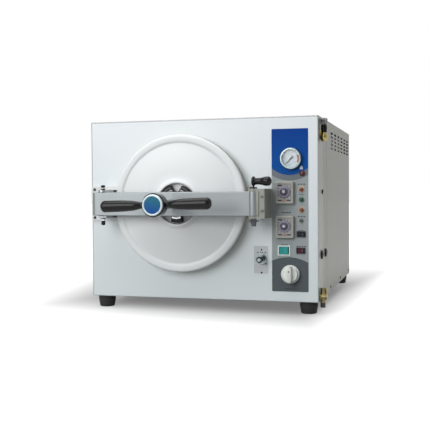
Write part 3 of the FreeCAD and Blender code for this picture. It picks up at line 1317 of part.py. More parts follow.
def make_valve():
    x, z = on_strip(KNOB_PLACE)
    back_y = VALVE_FRONT + VALVE_BODY_L
    port_y = VALVE_FRONT + VALVE_BODY_L / 2
    body = rod_y(VALVE_BODY_R, x, z, VALVE_FRONT, back_y)
    nose = rod_y(2 * KNOB_STEM_R, x, z, SHEET, VALVE_FRONT)
    rear = rod_y(2 * PIPE_R, x, z, back_y, back_y + VALVE_PORT_L)
    port_low = rod_z(2 * PIPE_R, x, port_y, z - VALVE_BODY_R - VALVE_PORT_L, z)
    lug_y = VALVE_FRONT + VALVE_LUG_T
    lug = block(x - VALVE_LUG_W / 2, x + VALVE_LUG_W / 2, lug_y, lug_y + VALVE_LUG_T,
                BASE_T, z - VALVE_BODY_R / 2)
    stem_end = VALVE_FRONT + KNOB_STEM_SEAT
    bore = rod_y(KNOB_STEM_R + RUN_FIT, x, z, 0, stem_end + HOLE_GAP)
    save("multiport_valve", join(body, nose, rear, port_low, lug).cut(bore))

    back = PANEL_FACE - SLOT_GAP
    face = back - KNOB_SKIRT
    skirt = rod_y(KNOB_R, x, z, face, back)
    skirt = skirt.makeFillet(HOUSING_WALL, edges_at_y(skirt, face))
    crown = Part.makeCone(KNOB_R - 2, KNOB_R - 4, KNOB_CROWN, Vec(x, face, z), -Y_AXIS)
    grip_half = KNOB_R - KNOB_GRIP_INSET
    grip = soft_block(x - KNOB_GRIP_W / 2, x + KNOB_GRIP_W / 2, back - KNOB_PROUD, face, z - grip_half,
                      z + grip_half, 0.4 * KNOB_GRIP_W, HOUSING_WALL)
    stem = rod_y(KNOB_STEM_R, x, z, back, stem_end)
    save("valve_knob", join(skirt, crown, grip, stem))


# ---- fittings on the right side and the back ----
def make_relief_valve():
    x = CASE_W + SIDE_REACH / 2
    stub = rod_x(RELIEF_R / 2, RELIEF_Y, RELIEF_MID, CASE_W - PIPE_BEND, x)
    nut = rod_x(RELIEF_R - 1, RELIEF_Y, RELIEF_MID, CASE_W, CASE_W + 2 * SHEET)
    barrel = rod_z(RELIEF_R - SHEET, x, RELIEF_Y, RELIEF_Z0, RELIEF_Z1)
    collar = rod_z(RELIEF_R, x, RELIEF_Y, RELIEF_MID - RELIEF_COLLAR_HALF, RELIEF_MID + RELIEF_COLLAR_HALF)
    bore = rod_z(RELIEF_STEM_R + RUN_FIT, x, RELIEF_Y, RELIEF_MID + RELIEF_STEM_R, RELIEF_Z1 + 1)
    save("relief_valve", join(stub, nut, barrel, collar).cut(bore))

    cap_top = RELIEF_Z1 + RELIEF_CAP_H
    cap = rod_z(RELIEF_R - SLOT_GAP, x, RELIEF_Y, RELIEF_Z1 + GAP, cap_top)
    cap = cap.makeFillet(2.0, [e for e in cap.Edges if abs(e.BoundBox.ZMin - cap_top) < 1e-4])
    stem = rod_z(RELIEF_STEM_R, x, RELIEF_Y, RELIEF_MID + 2 * RELIEF_STEM_R, RELIEF_Z1 + 1)
    save("relief_cap", join(cap, stem))


def make_drain_cock():
    lever_x = CASE_W + SIDE_REACH - DRAIN_LEVER_T
    outlet_x = CASE_W + DRAIN_NUT_R + SEAM
    nut_z = DRAIN_Z - DRAIN_R - DRAIN_NUT_H
    low_z = nut_z - DRAIN_OUTLET_L
    stub = rod_x(DRAIN_R / 2, DRAIN_Y, DRAIN_Z, CASE_W - PIPE_BEND, outlet_x)
    body = rod_x(DRAIN_R, DRAIN_Y, DRAIN_Z, CASE_W, lever_x - GAP)
    nut = rod_z(DRAIN_NUT_R, outlet_x, DRAIN_Y, nut_z, DRAIN_Z + DRAIN_NECK_H)
    outlet = rod_z(DRAIN_OUTLET_R, outlet_x, DRAIN_Y, low_z, nut_z)
    seat_x = lever_x - DRAIN_NUT_R
    bore = rod_x(DRAIN_BORE_R + RUN_FIT, DRAIN_Y, DRAIN_Z, seat_x - GAP, lever_x)
    spout = rod_z(DRAIN_SPOUT_R, outlet_x, DRAIN_Y, low_z - 1, nut_z)
    save("drain_cock", join(stub, body, nut, outlet).cut([bore, spout]))

    plug = rod_x(DRAIN_BORE_R, DRAIN_Y, DRAIN_Z, seat_x, lever_x + 1)
    boss = rod_x(DRAIN_R - 1, DRAIN_Y, DRAIN_Z, lever_x, lever_x + DRAIN_LEVER_T)
    wing = block(lever_x, lever_x + DRAIN_LEVER_T, DRAIN_Y - DRAIN_LEVER_W / 2, DRAIN_Y + DRAIN_LEVER_W / 2,
                 DRAIN_Z, DRAIN_Z + DRAIN_LEVER_L)
    tip = [e for e in edges_along(wing, X_AXIS) if e.BoundBox.ZMin > DRAIN_Z + 1]
    wing = wing.makeFillet(DRAIN_LEVER_W / 4, tip)
    save("drain_lever", join(plug, boss, wing))


def make_side_caps():
    caps = []
    for offset, z, r in SIDE_CAPS:
        y = SIDE_RETURN + offset
        proud = SIDE_CAP_PROUD * r
        cap = rod_x(r, y, z, CASE_W, CASE_W + proud)
        outer = [e for e in cap.Edges if abs(e.BoundBox.XMin - CASE_W - proud) < 1e-4]
        cap = cap.makeFillet(0.2 * proud, outer)
        stem = rod_x(r * SIDE_CAP_STEM, y, z, CASE_W - SIDE_CAP_BODY, CASE_W)
        caps.append(cap.fuse(stem).removeSplitter())
    save("side_caps", Part.makeCompound(caps))


def make_mains_inlet():
    floor_y = CASE_D - INLET_DEPTH
    half_w = INLET_W / 2 - GAP
    half_h = INLET_H / 2 - GAP
    body = block(INLET_X - half_w, INLET_X + half_w, floor_y - INLET_FLOOR, CASE_D,
                 INLET_Z - half_h, INLET_Z + half_h)
    flange = soft_block(INLET_X - INLET_W / 2 - INLET_EAR, INLET_X + INLET_W / 2 + INLET_EAR,
                        CASE_D, CASE_D + INLET_FLANGE,
                        INLET_Z - INLET_H / 2 - INLET_RIM, INLET_Z + INLET_H / 2 + INLET_RIM, INLET_RIM)
    mouth = block(INLET_X - half_w + INLET_WALL, INLET_X + half_w - INLET_WALL,
                  floor_y, CASE_D + INLET_FLANGE + 1,
                  INLET_Z - half_h + INLET_WALL, INLET_Z + half_h - INLET_WALL)
    blades = []
    for dx, dz in INLET_PINS:
        x = INLET_X + dx
        z = INLET_Z + dz
        blades.append(block(x - INLET_PIN_W / 2, x + INLET_PIN_W / 2, floor_y - 1, floor_y + INLET_PIN_L,
                            z - INLET_PIN_H / 2, z + INLET_PIN_H / 2))
    save("mains_inlet", join(join(body, flange).cut(mouth), *blades))


def make_pipework():
    steam, water = chamber_ports()
    end_y = CHAMBER_END + DISH_DEPTH + DISH_WALL + PORT_BOSS_PROUD
    back_y = CASE_D - PIPE_BACK_GAP
    knob_x, knob_z = on_strip(KNOB_PLACE)
    valve_y = VALVE_FRONT + VALVE_BODY_L + VALVE_PORT_L
    water_path = [
        Vec(knob_x, valve_y, knob_z),
        Vec(knob_x, valve_y + 2.5 * PIPE_BEND, knob_z),
        Vec(knob_x, valve_y + 5 * PIPE_BEND, PIPE_LOW_Z),
        Vec(knob_x, back_y, PIPE_LOW_Z),
        Vec(water[0], back_y, PIPE_LOW_Z),
        Vec(water[0], back_y, water[1]),
        Vec(water[0], end_y, water[1]),
    ]
    high = CASE_H - PIPE_TOP_GAP
    past_tank_x = TANK_X0 - 2.5 * PIPE_R
    steam_path = [
        Vec(CASE_W - PIPE_BEND, RELIEF_Y, RELIEF_MID),
        Vec(CASE_W - 3.5 * PIPE_BEND, RELIEF_Y, RELIEF_MID),
        Vec(past_tank_x, RELIEF_Y + 5.5 * PIPE_BEND, high),
        Vec(past_tank_x, back_y, high),
        Vec(steam[0], back_y, high),
        Vec(steam[0], back_y, steam[1]),
        Vec(steam[0], end_y, steam[1]),
    ]
    drain_x = CASE_W - 3 * PIPE_BEND
    drain_path = [
        Vec(CASE_W - PIPE_BEND, DRAIN_Y, DRAIN_Z),
        Vec(drain_x, DRAIN_Y, DRAIN_Z),
        Vec(drain_x, DRAIN_Y + 4.5 * PIPE_BEND, DRAIN_Z),
    ]
    pipes = [bent_pipe(path, PIPE_R, PIPE_BEND) for path in (water_path, steam_path, drain_path)]
    outlet = rod_y(PIPE_R, OUTLET_X, OUTLET_Z, TANK_Y1 - TANK_WALL, CASE_D)
    nut_stem = rod_y(OUTLET_NUT_STEM_R, OUTLET_X, OUTLET_Z, CASE_D - SHEET, CASE_D)
    nut = rod_y(OUTLET_NUT_R, OUTLET_X, OUTLET_Z, CASE_D, CASE_D + OUTLET_NUT_T)
    spigot = rod_y(OUTLET_R, OUTLET_X, OUTLET_Z, CASE_D + OUTLET_NUT_T, CASE_D + BACK_REACH)
    pipes.append(join(outlet, nut_stem, nut, spigot))
    save("pipework", Part.makeCompound(pipes))


def relay_block(size, y, z):
    """Box of one component, standing off the board towards the inside."""
    reach, depth, height = size
    return block(BOARD_X - reach, BOARD_X, y, y + depth, z, z + height)


def make_relay_board():
    y1 = BOARD_Y0 + BOARD_D
    z1 = BOARD_Z0 + BOARD_H
    board = block(BOARD_X, BOARD_X + BOARD_T, BOARD_Y0, y1, BOARD_Z0, z1)
    pieces = []
    for y in (BOARD_Y0 + BOARD_POST_INSET, y1 - BOARD_POST_INSET):
        for z in (BOARD_Z0 + BOARD_POST_INSET, z1 - BOARD_POST_INSET):
            pieces.append(rod_x(BOARD_POST_R, y, z, BOARD_X + BOARD_T, CASE_W - SHEET))
    for row in range(RELAYS):
        z = BOARD_Z0 + RELAY_MARGIN + row * RELAY_PITCH
        pieces.append(relay_block(RELAY_SIZE, BOARD_Y0 + RELAY_SIDE, z))
        pieces.append(relay_block(TERMINAL_SIZE, y1 - RELAY_SIDE - TERMINAL_SIZE[1], z))
    save("relay_board", join(board, *pieces))


def main():
    os.makedirs("parts", exist_ok=True)
    make_base_tray()
    make_feet()
    make_front_panel()
    make_side_cover("left_cover", 0, SHEET)
    make_side_cover("right_cover", CASE_W, CASE_W - SHEET)
    make_top_cover()
    make_back_panel()
    make_screws()
    make_chamber()
    make_gasket()
    make_insulation()
    make_heating_element()
    make_tray_rack()
    make_trays()
    make_water_tank()
    make_tank_cap()
    make_door()
    make_thrust_collar()
    make_crossbar()
    make_hinge_bracket()
    make_hinge_pin()
    make_latch_bracket()
    make_latch()
    make_spindle()
    make_handle()
    make_control_panel()
    make_gauge()
    for name, place in TIMER_PLACES.items():
        make_timer(name, place)
    make_lamps()
    make_switches()
    make_toggle()
    make_valve()
    make_relief_valve()
    make_drain_cock()
    make_side_caps()
    make_mains_inlet()
    make_pipework()
    make_relay_board()


main()
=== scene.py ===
"""Looks of the benchtop autoclave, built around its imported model.

Lengths inside the classes are millimetres in machine coordinates: x from the left side of the case,
y from the face of the front panel towards the back, z from the bottom of the case.
Rig turns them into the frame's metres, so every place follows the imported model.
"""

import logging
import math
from dataclasses import dataclass, field
from enum import Enum
from typing import Iterable, Optional, Sequence, Union

import bmesh
import bpy
from mathutils import Matrix, Vector


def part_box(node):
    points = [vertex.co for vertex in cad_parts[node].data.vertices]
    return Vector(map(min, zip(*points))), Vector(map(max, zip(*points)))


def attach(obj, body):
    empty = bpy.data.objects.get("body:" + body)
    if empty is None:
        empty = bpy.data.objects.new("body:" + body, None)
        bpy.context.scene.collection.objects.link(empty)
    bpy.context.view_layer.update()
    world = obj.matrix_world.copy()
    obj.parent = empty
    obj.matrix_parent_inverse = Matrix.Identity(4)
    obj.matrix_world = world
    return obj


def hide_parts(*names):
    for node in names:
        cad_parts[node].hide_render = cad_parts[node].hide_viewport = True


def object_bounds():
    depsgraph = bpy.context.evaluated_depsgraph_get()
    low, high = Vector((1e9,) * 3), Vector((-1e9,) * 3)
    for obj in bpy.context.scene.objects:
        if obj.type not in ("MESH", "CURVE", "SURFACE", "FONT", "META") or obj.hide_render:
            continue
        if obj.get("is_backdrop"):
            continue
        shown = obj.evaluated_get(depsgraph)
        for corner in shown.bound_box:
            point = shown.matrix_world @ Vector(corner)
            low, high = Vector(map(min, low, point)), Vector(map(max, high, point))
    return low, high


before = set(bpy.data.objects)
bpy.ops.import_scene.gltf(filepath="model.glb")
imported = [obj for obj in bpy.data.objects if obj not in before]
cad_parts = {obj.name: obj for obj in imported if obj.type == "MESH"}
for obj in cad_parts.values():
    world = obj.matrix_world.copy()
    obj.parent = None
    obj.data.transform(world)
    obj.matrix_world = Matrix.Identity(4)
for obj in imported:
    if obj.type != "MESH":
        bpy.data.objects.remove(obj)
LOG = logging.getLogger("autoclave")
MM = 0.001
INK_RISE = 0.06
Number = Union[int, float]
Operand = Union["Signal", Number]
Feed = Union["Signal", Number, Sequence[float]]
Colour = tuple[float, float, float]
Point = tuple[float, float]
Point3 = tuple[float, float, float]
Mark = tuple[float, float, float, float]
Ring = Sequence[bmesh.types.BMVert]
BLACK: Colour = (0.0, 0.0, 0.0)
WHITE: Colour = (1.0, 1.0, 1.0)
WORN_EDGE: Colour = (0.9, 0.9, 0.9)


# ---------------------------------------------------------------- shader maths
def linear(red: float, green: float, blue: float) -> Colour:
    """Turn a display colour, 0 to 255 a channel, into linear light.

    Args:
        red: Red channel.
        green: Green channel.
        blue: Blue channel.

    Returns:
        The linear colour.
    """
    channels = []
    for value in (red, green, blue):
        share = value / 255.0
        channels.append(share / 12.92 if share <= 0.04045 else ((share + 0.055) / 1.055) ** 2.4)
    return (channels[0], channels[1], channels[2])


class Signal:
    """One output socket with arithmetic, so that masks read as expressions."""

    def __init__(self, sheet: "NodeSheet", socket: bpy.types.NodeSocket) -> None:
        """Wrap an output socket of the sheet that is under construction."""
        self.sheet = sheet
        self.socket = socket

    def _math(self, operation: str, *others: Operand) -> "Signal":
        """Output of a Math node on this value and the others."""
        return self.sheet.node("ShaderNodeMath", {"operation": operation}, dict(enumerate((self, *others))))

    def __add__(self, other: Operand) -> "Signal":
        """Sum."""
        return self._math("ADD", other)

    def __radd__(self, other: Number) -> "Signal":
        """Reflected sum."""
        return self._math("ADD", other)

    def __sub__(self, other: Operand) -> "Signal":
        """Difference."""
        return self._math("SUBTRACT", other)

    def __rsub__(self, other: Number) -> "Signal":
        """Reflected difference, such as 1 - mask."""
        return self._math("MULTIPLY", -1.0)._math("ADD", other)

    def __mul__(self, other: Operand) -> "Signal":
        """Product."""
        return self._math("MULTIPLY", other)

    def __rmul__(self, other: Number) -> "Signal":
        """Reflected product."""
        return self._math("MULTIPLY", other)

    def __truediv__(self, other: Operand) -> "Signal":
        """Quotient."""
        return self._math("DIVIDE", other)

    def __pow__(self, other: Operand) -> "Signal":
        """Power."""
        return self._math("POWER", other)

    def __lt__(self, other: Operand) -> "Signal":
        """Mask that is 1 where this is less."""
        return self._math("LESS_THAN", other)

    def __gt__(self, other: Operand) -> "Signal":
        """Mask that is 1 where this is greater."""
        return self._math("GREATER_THAN", other)

    def least(self, other: Operand) -> "Signal":
        """Smaller of two values."""
        return self._math("MINIMUM", other)

    def most(self, other: Operand) -> "Signal":
        """Larger of two values."""
        return self._math("MAXIMUM", other)

    def share(self) -> "Signal":
        """Value held between 0 and 1."""
        return self.most(0.0).least(1.0)

    def over(self, other: Operand, reach: float) -> "Signal":
        """Larger of two values, rounded over within a reach."""
        return self._math("SMOOTH_MAX", other, reach)

    def under(self, other: Operand, reach: float) -> "Signal":
        """Smaller of two values, rounded off within a reach."""
        return self._math("SMOOTH_MIN", other, reach)


class NodeSheet:
    """A node tree that is built from expressions."""

    def __init__(self, tree: bpy.types.NodeTree) -> None:
        """Clear the node tree of a material or a world and take it over."""
        self.tree = tree
        self.tree.nodes.clear()

    def node(self, kind: str, settings: dict[str, object], inputs: dict[Union[int, str], Feed],
             output: Union[int, str, None] = 0) -> Optional[Signal]:
        """Add a node.

        Args:
            kind: Node type.
            settings: Node properties, set before the sockets.
            inputs: Values or signals by socket name or index.
            output: Output socket to return, or None for a node without one.

        Returns:
            The chosen output.
        """
        made = self.tree.nodes.new(kind)
        for key, value in settings.items():
            setattr(made, key, value)
        for key, value in inputs.items():
            self.feed(made.inputs[key], value)
        return None if output is None else Signal(self, made.outputs[output])

    def feed(self, socket: bpy.types.NodeSocket, value: Feed) -> None:
        """Link a signal to a socket or set its value.

        Args:
            socket: Input socket.
            value: Signal, number or colour.
        """
        if isinstance(value, Signal):
            self.tree.links.new(value.socket, socket)
        elif isinstance(value, (int, float)):
            socket.default_value = float(value)
        else:
            wanted = len(socket.default_value)
            full = tuple(value) if len(value) == wanted else (*value, 1.0)
            socket.default_value = full

    def split(self, kind: str, output: str) -> tuple[Signal, Signal, Signal]:
        """Components of a vector that a node gives.

        Args:
            kind: Node type.
            output: Its output.

        Returns:
            The x, y and z components.
        """
        parted = self.node("ShaderNodeSeparateXYZ", {}, {0: self.node(kind, {}, {}, output)})
        outputs = parted.socket.node.outputs
        return Signal(self, outputs[0]), Signal(self, outputs[1]), Signal(self, outputs[2])

    def seen(self) -> Signal:
        """Mask of rays from the camera and of rays mirrored or bent on their way from it.

        Returns:
            1 for those rays, 0 for light that falls on other surfaces.
        """
        rays = [self.node("ShaderNodeLightPath", {}, {}, name)
                for name in ("Is Camera Ray", "Is Glossy Ray", "Is Transmission Ray")]
        return rays[0].most(rays[1]).most(rays[2])


class Sky(NodeSheet):
    """A world that is built from expressions."""

    def __init__(self, name: str) -> None:
        """Start an empty world.

        Args:
            name: World name.
        """
        self.world = bpy.data.worlds.new(name)
        self.world.use_nodes = True
        super().__init__(self.world.node_tree)

    def glow(self, strength: float) -> Signal:
        """White light of one strength."""
        return self.node("ShaderNodeBackground", {}, {"Color": WHITE, "Strength": strength})

    def blend(self, share: Feed, first: Signal, second: Signal) -> Signal:
        """Mix two lights, of which the second has the given share."""
        return self.node("ShaderNodeMixShader", {}, {0: share, 1: first, 2: second})


class Paint(NodeSheet):
    """A node material that is built from expressions."""

    def __init__(self, name: str) -> None:
        """Start a material with a surface shader.

        Args:
            name: Material name.
        """
        self.material = bpy.data.materials.new(name)
        self.material.use_nodes = True
        super().__init__(self.material.node_tree)
        surface = self.node("ShaderNodeBsdfPrincipled", {}, {})
        self.shader = surface.socket.node
        self.node("ShaderNodeOutputMaterial", {}, {"Surface": surface}, None)

    def set(self, **sockets: Feed) -> None:
        """Set sockets of the surface shader; underscores stand for spaces."""
        for name, value in sockets.items():
            self.feed(self.shader.inputs[name.replace("_", " ")], value)

    def place(self) -> tuple[Signal, Signal, Signal]:
        """Position on the object at rest.

        Returns:
            Machine coordinates in millimetres.
        """
        raw = self.split("ShaderNodeTexCoord", "Object")
        x, y, z = ((metres - start) * (1.0 / MM) for metres, start in zip(raw, RIG.origin))
        return x, y, z

    def noise(self, scale: float, detail: float = 3.0, stretch: Point3 = (1.0, 1.0, 1.0),
              roughness: float = 0.5) -> Signal:
        """Noise over the object's own coordinates.

        Args:
            scale: Cells per metre.
            detail: Octaves.
            stretch: Scale of each axis.
            roughness: Weight of the finer octaves.

        Returns:
            A value around 0.5.
        """
        position = self.node("ShaderNodeTexCoord", {}, {}, "Object")
        mapped = self.node("ShaderNodeMapping", {}, {"Vector": position, "Scale": stretch})
        inputs = {"Vector": mapped, "Scale": scale, "Detail": detail, "Roughness": roughness}
        return self.node("ShaderNodeTexNoise", {}, inputs)

    def mix(self, mask: Feed, first: Feed, second: Feed) -> Signal:
        """Mix two colours: the first where the mask is 0, the second where it is 1."""
        return self.node("ShaderNodeMix", {"data_type": "RGBA"}, {0: mask, 6: first, 7: second}, 2)

    def bump(self, height: Signal, strength: float, distance: float) -> None:
        """Raise the surface by a height signal, with its depth in metres."""
        inputs = {"Height": height, "Strength": strength, "Distance": distance}
        self.set(Normal=self.node("ShaderNodeBump", {}, inputs))

    def glow_edge(self, colour: Feed, lift: float) -> Signal:
        """Lighten a colour where the surface is worn at its convex edges.

        Args:
            colour: Base colour.
            lift: Amount of lightening.

        Returns:
            The worn colour.
        """
        flat, gain = 0.5, 6.0
        pointiness = self.node("ShaderNodeNewGeometry", {}, {}, "Pointiness")
        worn = ((pointiness - flat) * gain).share() * lift
        return self.mix(worn, colour, WORN_EDGE)


# ---------------------------------------------------------------- frame rig
@dataclass
class Rig:
    """Turns machine millimetres into the frame's metres."""

    origin: Vector

    @classmethod
    def from_frame(cls) -> "Rig":
        """Find the case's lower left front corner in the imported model."""
        low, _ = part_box("front_panel")
        return cls(Vector(low))

    def metres(self, x: float, y: float, z: float) -> Vector:
        """Point of the frame that lies x to the right, y to the back and z up from the origin."""
        return self.origin + Vector((x, y, z)) * MM

    def spot(self, node: str) -> "Spot":
        """Box of a CAD node in machine millimetres."""
        low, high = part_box(node)
        return Spot(tuple((low - self.origin) / MM), tuple((high - self.origin) / MM))


@dataclass(frozen=True)
class Spot:
    """A box in machine millimetres."""

    low: Point3
    high: Point3

    @property
    def centre(self) -> Point3:
        """Middle of the box."""
        return tuple((a + b) / 2 for a, b in zip(self.low, self.high))

    @property
    def size(self) -> Point3:
        """Lengths of the box's sides."""
        return tuple(b - a for a, b in zip(self.low, self.high))


RIG = Rig.from_frame()


# ---------------------------------------------------------------- finishes
@dataclass(frozen=True)
class Finish:
    """A named finish; each kind of finish paints its own sockets."""

    name: str

    def build(self) -> bpy.types.Material:
        """Make the material.

        Returns:
            The material.
        """
        paint = Paint(self.name)
        self.apply(paint)
        return paint.material

    def apply(self, paint: Paint) -> None:
        """Set the sockets of the surface shader."""
        raise NotImplementedError(f"{type(self).__name__} has no looks of its own")


@dataclass(frozen=True)
class Coat(Finish):
    """Powder coat or enamel: a pale colour with fine orange peel."""

    colour: Colour
    roughness: float = 0.38
    peel: float = 0.10
    peel_scale: float = 900.0
    tone: float = 0.03
    coat: float = 0.0
    shine: float = 0.4

    def apply(self, paint: Paint) -> None:
        """Cloud the colour and pebble the surface.

        Args:
            paint: Material under construction.
        """
        cloud = paint.noise(6.0, 2.0)
        low = tuple(channel * (1.0 - self.tone) for channel in self.colour)
        paint.set(Base_Color=paint.mix(cloud, low, self.colour), Metallic=0.0, Coat_Weight=self.coat)
        paint.set(Specular_IOR_Level=self.shine)
        paint.set(Roughness=self.roughness - 0.04 + paint.noise(45.0, 3.0) * 0.08)
        paint.bump(paint.noise(self.peel_scale, 2.0), self.peel, 0.0002)


@dataclass(frozen=True)
class Moulding(Finish):
    """Moulded plastic with a fine spark-eroded grain."""

    colour: Colour
    roughness: float = 0.35
    grain: float = 0.08
    grain_scale: float = 2500.0
    coat: float = 0.0
    wear: float = 0.02
    shine: float = 0.35

    def apply(self, paint: Paint) -> None:
        """Mottle the colour, wear its edges and grain the surface.

        Args:
            paint: Material under construction.
        """
        dark = tuple(channel * 0.92 for channel in self.colour)
        base = paint.mix(paint.noise(60.0, 3.0), dark, self.colour)
        paint.set(Base_Color=paint.glow_edge(base, self.wear), Coat_Weight=self.coat, Coat_Roughness=0.08)
        paint.set(Specular_IOR_Level=self.shine)
        paint.set(Roughness=self.roughness - 0.05 + paint.noise(110.0, 3.0) * 0.1)
        paint.bump(paint.noise(self.grain_scale, 2.0), self.grain, 0.0001)


@dataclass(frozen=True)
class Metal(Finish):
    """Bare or plated metal with brushing along one axis."""

    colour: Colour
    roughness: float = 0.25
    brush: Point3 = (1.0, 1.0, 1.0)
    brush_depth: float = 0.05
    tint: Colour = (0.5, 0.5, 0.5)
    tint_share: float = 0.15

    def apply(self, paint: Paint) -> None:
        """Brush the surface along one axis and blotch its tint.

        Args:
            paint: Material under construction.
        """
        streak = paint.noise(500.0, 4.0, self.brush)
        blotch = paint.noise(35.0, 4.0)
        base = paint.mix(blotch * self.tint_share, self.colour, self.tint)
        paint.set(Base_Color=base, Metallic=1.0)
        paint.set(Roughness=self.roughness - 0.05 + streak * 0.1)
        paint.bump(streak, self.brush_depth, 0.0001)


@dataclass(frozen=True)
class Lens(Finish):
    """Coloured pilot lamp lens, unlit, with a pale core."""

    colour: Colour
    core: Colour

    def apply(self, paint: Paint) -> None:
        """Break the colour into facets.

        Args:
            paint: Material under construction.
        """
        facets = paint.noise(900.0, 1.0)
        paint.set(Base_Color=paint.mix(facets, self.colour, self.core), Roughness=0.12)
        paint.set(Specular_IOR_Level=0.4, Coat_Weight=0.2, Coat_Roughness=0.04)
        paint.bump(facets, 0.25, 0.0003)


@dataclass(frozen=True)
class Elastomer(Finish):
    """Rubber, dusty in its low spots."""

    colour: Colour
    dust: Colour = (0.20, 0.20, 0.19)

    def apply(self, paint: Paint) -> None:
        """Dust the rubber and roughen it.

        Args:
            paint: Material under construction.
        """
        cloud = paint.noise(80.0, 4.0)
        paint.set(Base_Color=paint.mix(cloud * 0.25, self.colour, self.dust))
        paint.set(Roughness=0.55 + cloud * 0.2, Specular_IOR_Level=0.3)
        paint.bump(paint.noise(1600.0, 3.0), 0.15, 0.0002)


@dataclass(frozen=True)
class Blanket(Finish):
    """Pressed mineral fibre."""

    colour: Colour

    def apply(self, paint: Paint) -> None:
        """Lay the fibres.

        Args:
            paint: Material under construction.
        """
        fibre = paint.noise(350.0, 6.0, (1.0, 0.15, 1.0), 0.7)
        pale = tuple(min(1.0, channel * 1.25) for channel in self.colour)
        paint.set(Base_Color=paint.mix(fibre, self.colour, pale), Roughness=0.9)
        paint.bump(fibre, 0.6, 0.001)


@dataclass(frozen=True)
class Glazing(Finish):
    """Thin clear gauge glass."""

    def apply(self, paint: Paint) -> None:
        """Make the pane clear, with a slight smear.

        Args:
            paint: Material under construction.
        """
        smear = paint.noise(90.0, 3.0)
        paint.set(Base_Color=(0.97, 0.99, 1.0), Roughness=0.02 + smear * 0.03, Alpha=0.10)
        paint.set(Coat_Weight=1.0, Coat_Roughness=0.02)


# ---------------------------------------------------------------- mesh toolkit
class Facing(Enum):
    """Way that a form looks: its across, up and outward directions."""

    FRONT = ((1.0, 0.0, 0.0), (0.0, 0.0, 1.0), (0.0, -1.0, 0.0))
    RIGHT = ((0.0, 1.0, 0.0), (0.0, 0.0, 1.0), (1.0, 0.0, 0.0))
    UP = ((1.0, 0.0, 0.0), (0.0, 1.0, 0.0), (0.0, 0.0, 1.0))
    DOWN = ((1.0, 0.0, 0.0), (0.0, -1.0, 0.0), (0.0, 0.0, -1.0))


@dataclass(frozen=True)
class Seat:
    """Local frame of a form: where it sits and which way it looks."""

    centre: Vector
    across: Vector
    up: Vector
    out: Vector

    @classmethod
    def on(cls, centre: Sequence[float], facing: Facing = Facing.FRONT, turn: float = 0.0) -> "Seat":
        """Seat that looks one of the usual ways.

        Args:
            centre: Origin in machine millimetres.
            facing: Way it looks.
            turn: Rotation about the outward direction, in degrees.

        Returns:
            The seat.
        """
        across, up, out = (Vector(axis) for axis in facing.value)
        angle = math.radians(turn)
        turned_across = across * math.cos(angle) + up * math.sin(angle)
        turned_up = up * math.cos(angle) - across * math.sin(angle)
        return cls(Vector(centre), turned_across, turned_up, out)

    @classmethod
    def along(cls, centre: Sequence[float], way: Sequence[float]) -> "Seat":
        """Seat that looks along any direction.

        Args:
            centre: Origin in machine millimetres.
            way: Outward direction.

        Returns:
            The seat.
        """
        out = Vector(way).normalized()
        helper = Vector((0.0, 0.0, 1.0)) if abs(out.z) < 0.9 else Vector((1.0, 0.0, 0.0))
        across = helper.cross(out).normalized()
        return cls(Vector(centre), across, out.cross(across), out)

    def moved(self, across: float, up: float) -> "Seat":
        """The same frame with its origin moved across and up."""
        return Seat(self.centre + self.across * across + self.up * up, self.across, self.up, self.out)

    def swung(self, radius: float, angle: float) -> "Seat":
        """The same frame with its origin moved by a radius at an angle in radians."""
        return self.moved(radius * math.cos(angle), radius * math.sin(angle))

    def at(self, across: float, up: float, out: float = 0.0) -> Vector:
        """Point of the seat in the frame's metres."""
        return RIG.metres(*(self.centre + self.across * across + self.up * up + self.out * out))


def circle(radius: float, steps: int = 64) -> list[Point]:
    """Points of a circle, or one point where the radius is nothing.

    Args:
        radius: Radius.
        steps: Number of points.

    Returns:
        The points, anticlockwise.
    """
    if radius <= 0.0:
        return [(0.0, 0.0)]
    angles = (2 * math.pi * index / steps for index in range(steps))
    return [(radius * math.cos(angle), radius * math.sin(angle)) for angle in angles]


def rounded_rect(width: float, height: float, corner: float, steps: int = 5) -> list[Point]:
    """Rectangle with round corners.

    Args:
        width: Width.
        height: Height.
        corner: Corner radius.
        steps: Segments in each corner.

    Returns:
        The points, anticlockwise.
    """
    corner = max(0.01, min(corner, width / 2 - 0.01, height / 2 - 0.01))
    points = []
    for quarter, (side, top) in enumerate(((1, 1), (-1, 1), (-1, -1), (1, -1))):
        for step in range(steps + 1):
            angle = math.pi / 2 * (quarter + step / steps)
            points.append((side * (width / 2 - corner) + corner * math.cos(angle),
                           top * (height / 2 - corner) + corner * math.sin(angle)))
    return points


def scalloped(radius: float, count: int, depth: float, width: float, steps: int = 20) -> list[Point]:
    """Circle with evenly spaced round notches.

    Args:
        radius: Outer radius.
        count: Number of notches.
        depth: Depth of a notch.
        width: Share of the pitch that a notch takes.
        steps: Points for each notch.

    Returns:
        The points, anticlockwise, with a notch at the top.
    """
    points = []
    for index in range(count * steps):
        share = index / steps
        offset = abs((share + 0.5) % 1.0 - 0.5) * 2 / width
        dip = depth * math.sqrt(max(0.0, 1.0 - offset * offset)) if offset < 1.0 else 0.0
        angle = math.pi / 2 + 2 * math.pi * share / count
        points.append(((radius - dip) * math.cos(angle), (radius - dip) * math.sin(angle)))
    return points


def bow(first: Point, control: Point, last: Point, steps: int = 16) -> list[Point]:
    """Smooth curve between two points of a profile.

    Args:
        first: Start.
        control: Point that the curve bends towards.
        last: End.
        steps: Segments.

    Returns:
        The points.
    """
    points = []
    for step in range(steps + 1):
        t = step / steps
        points.append(tuple((1 - t) ** 2 * a + 2 * t * (1 - t) * b + t * t * c
                            for a, b, c in zip(first, control, last)))
    return points


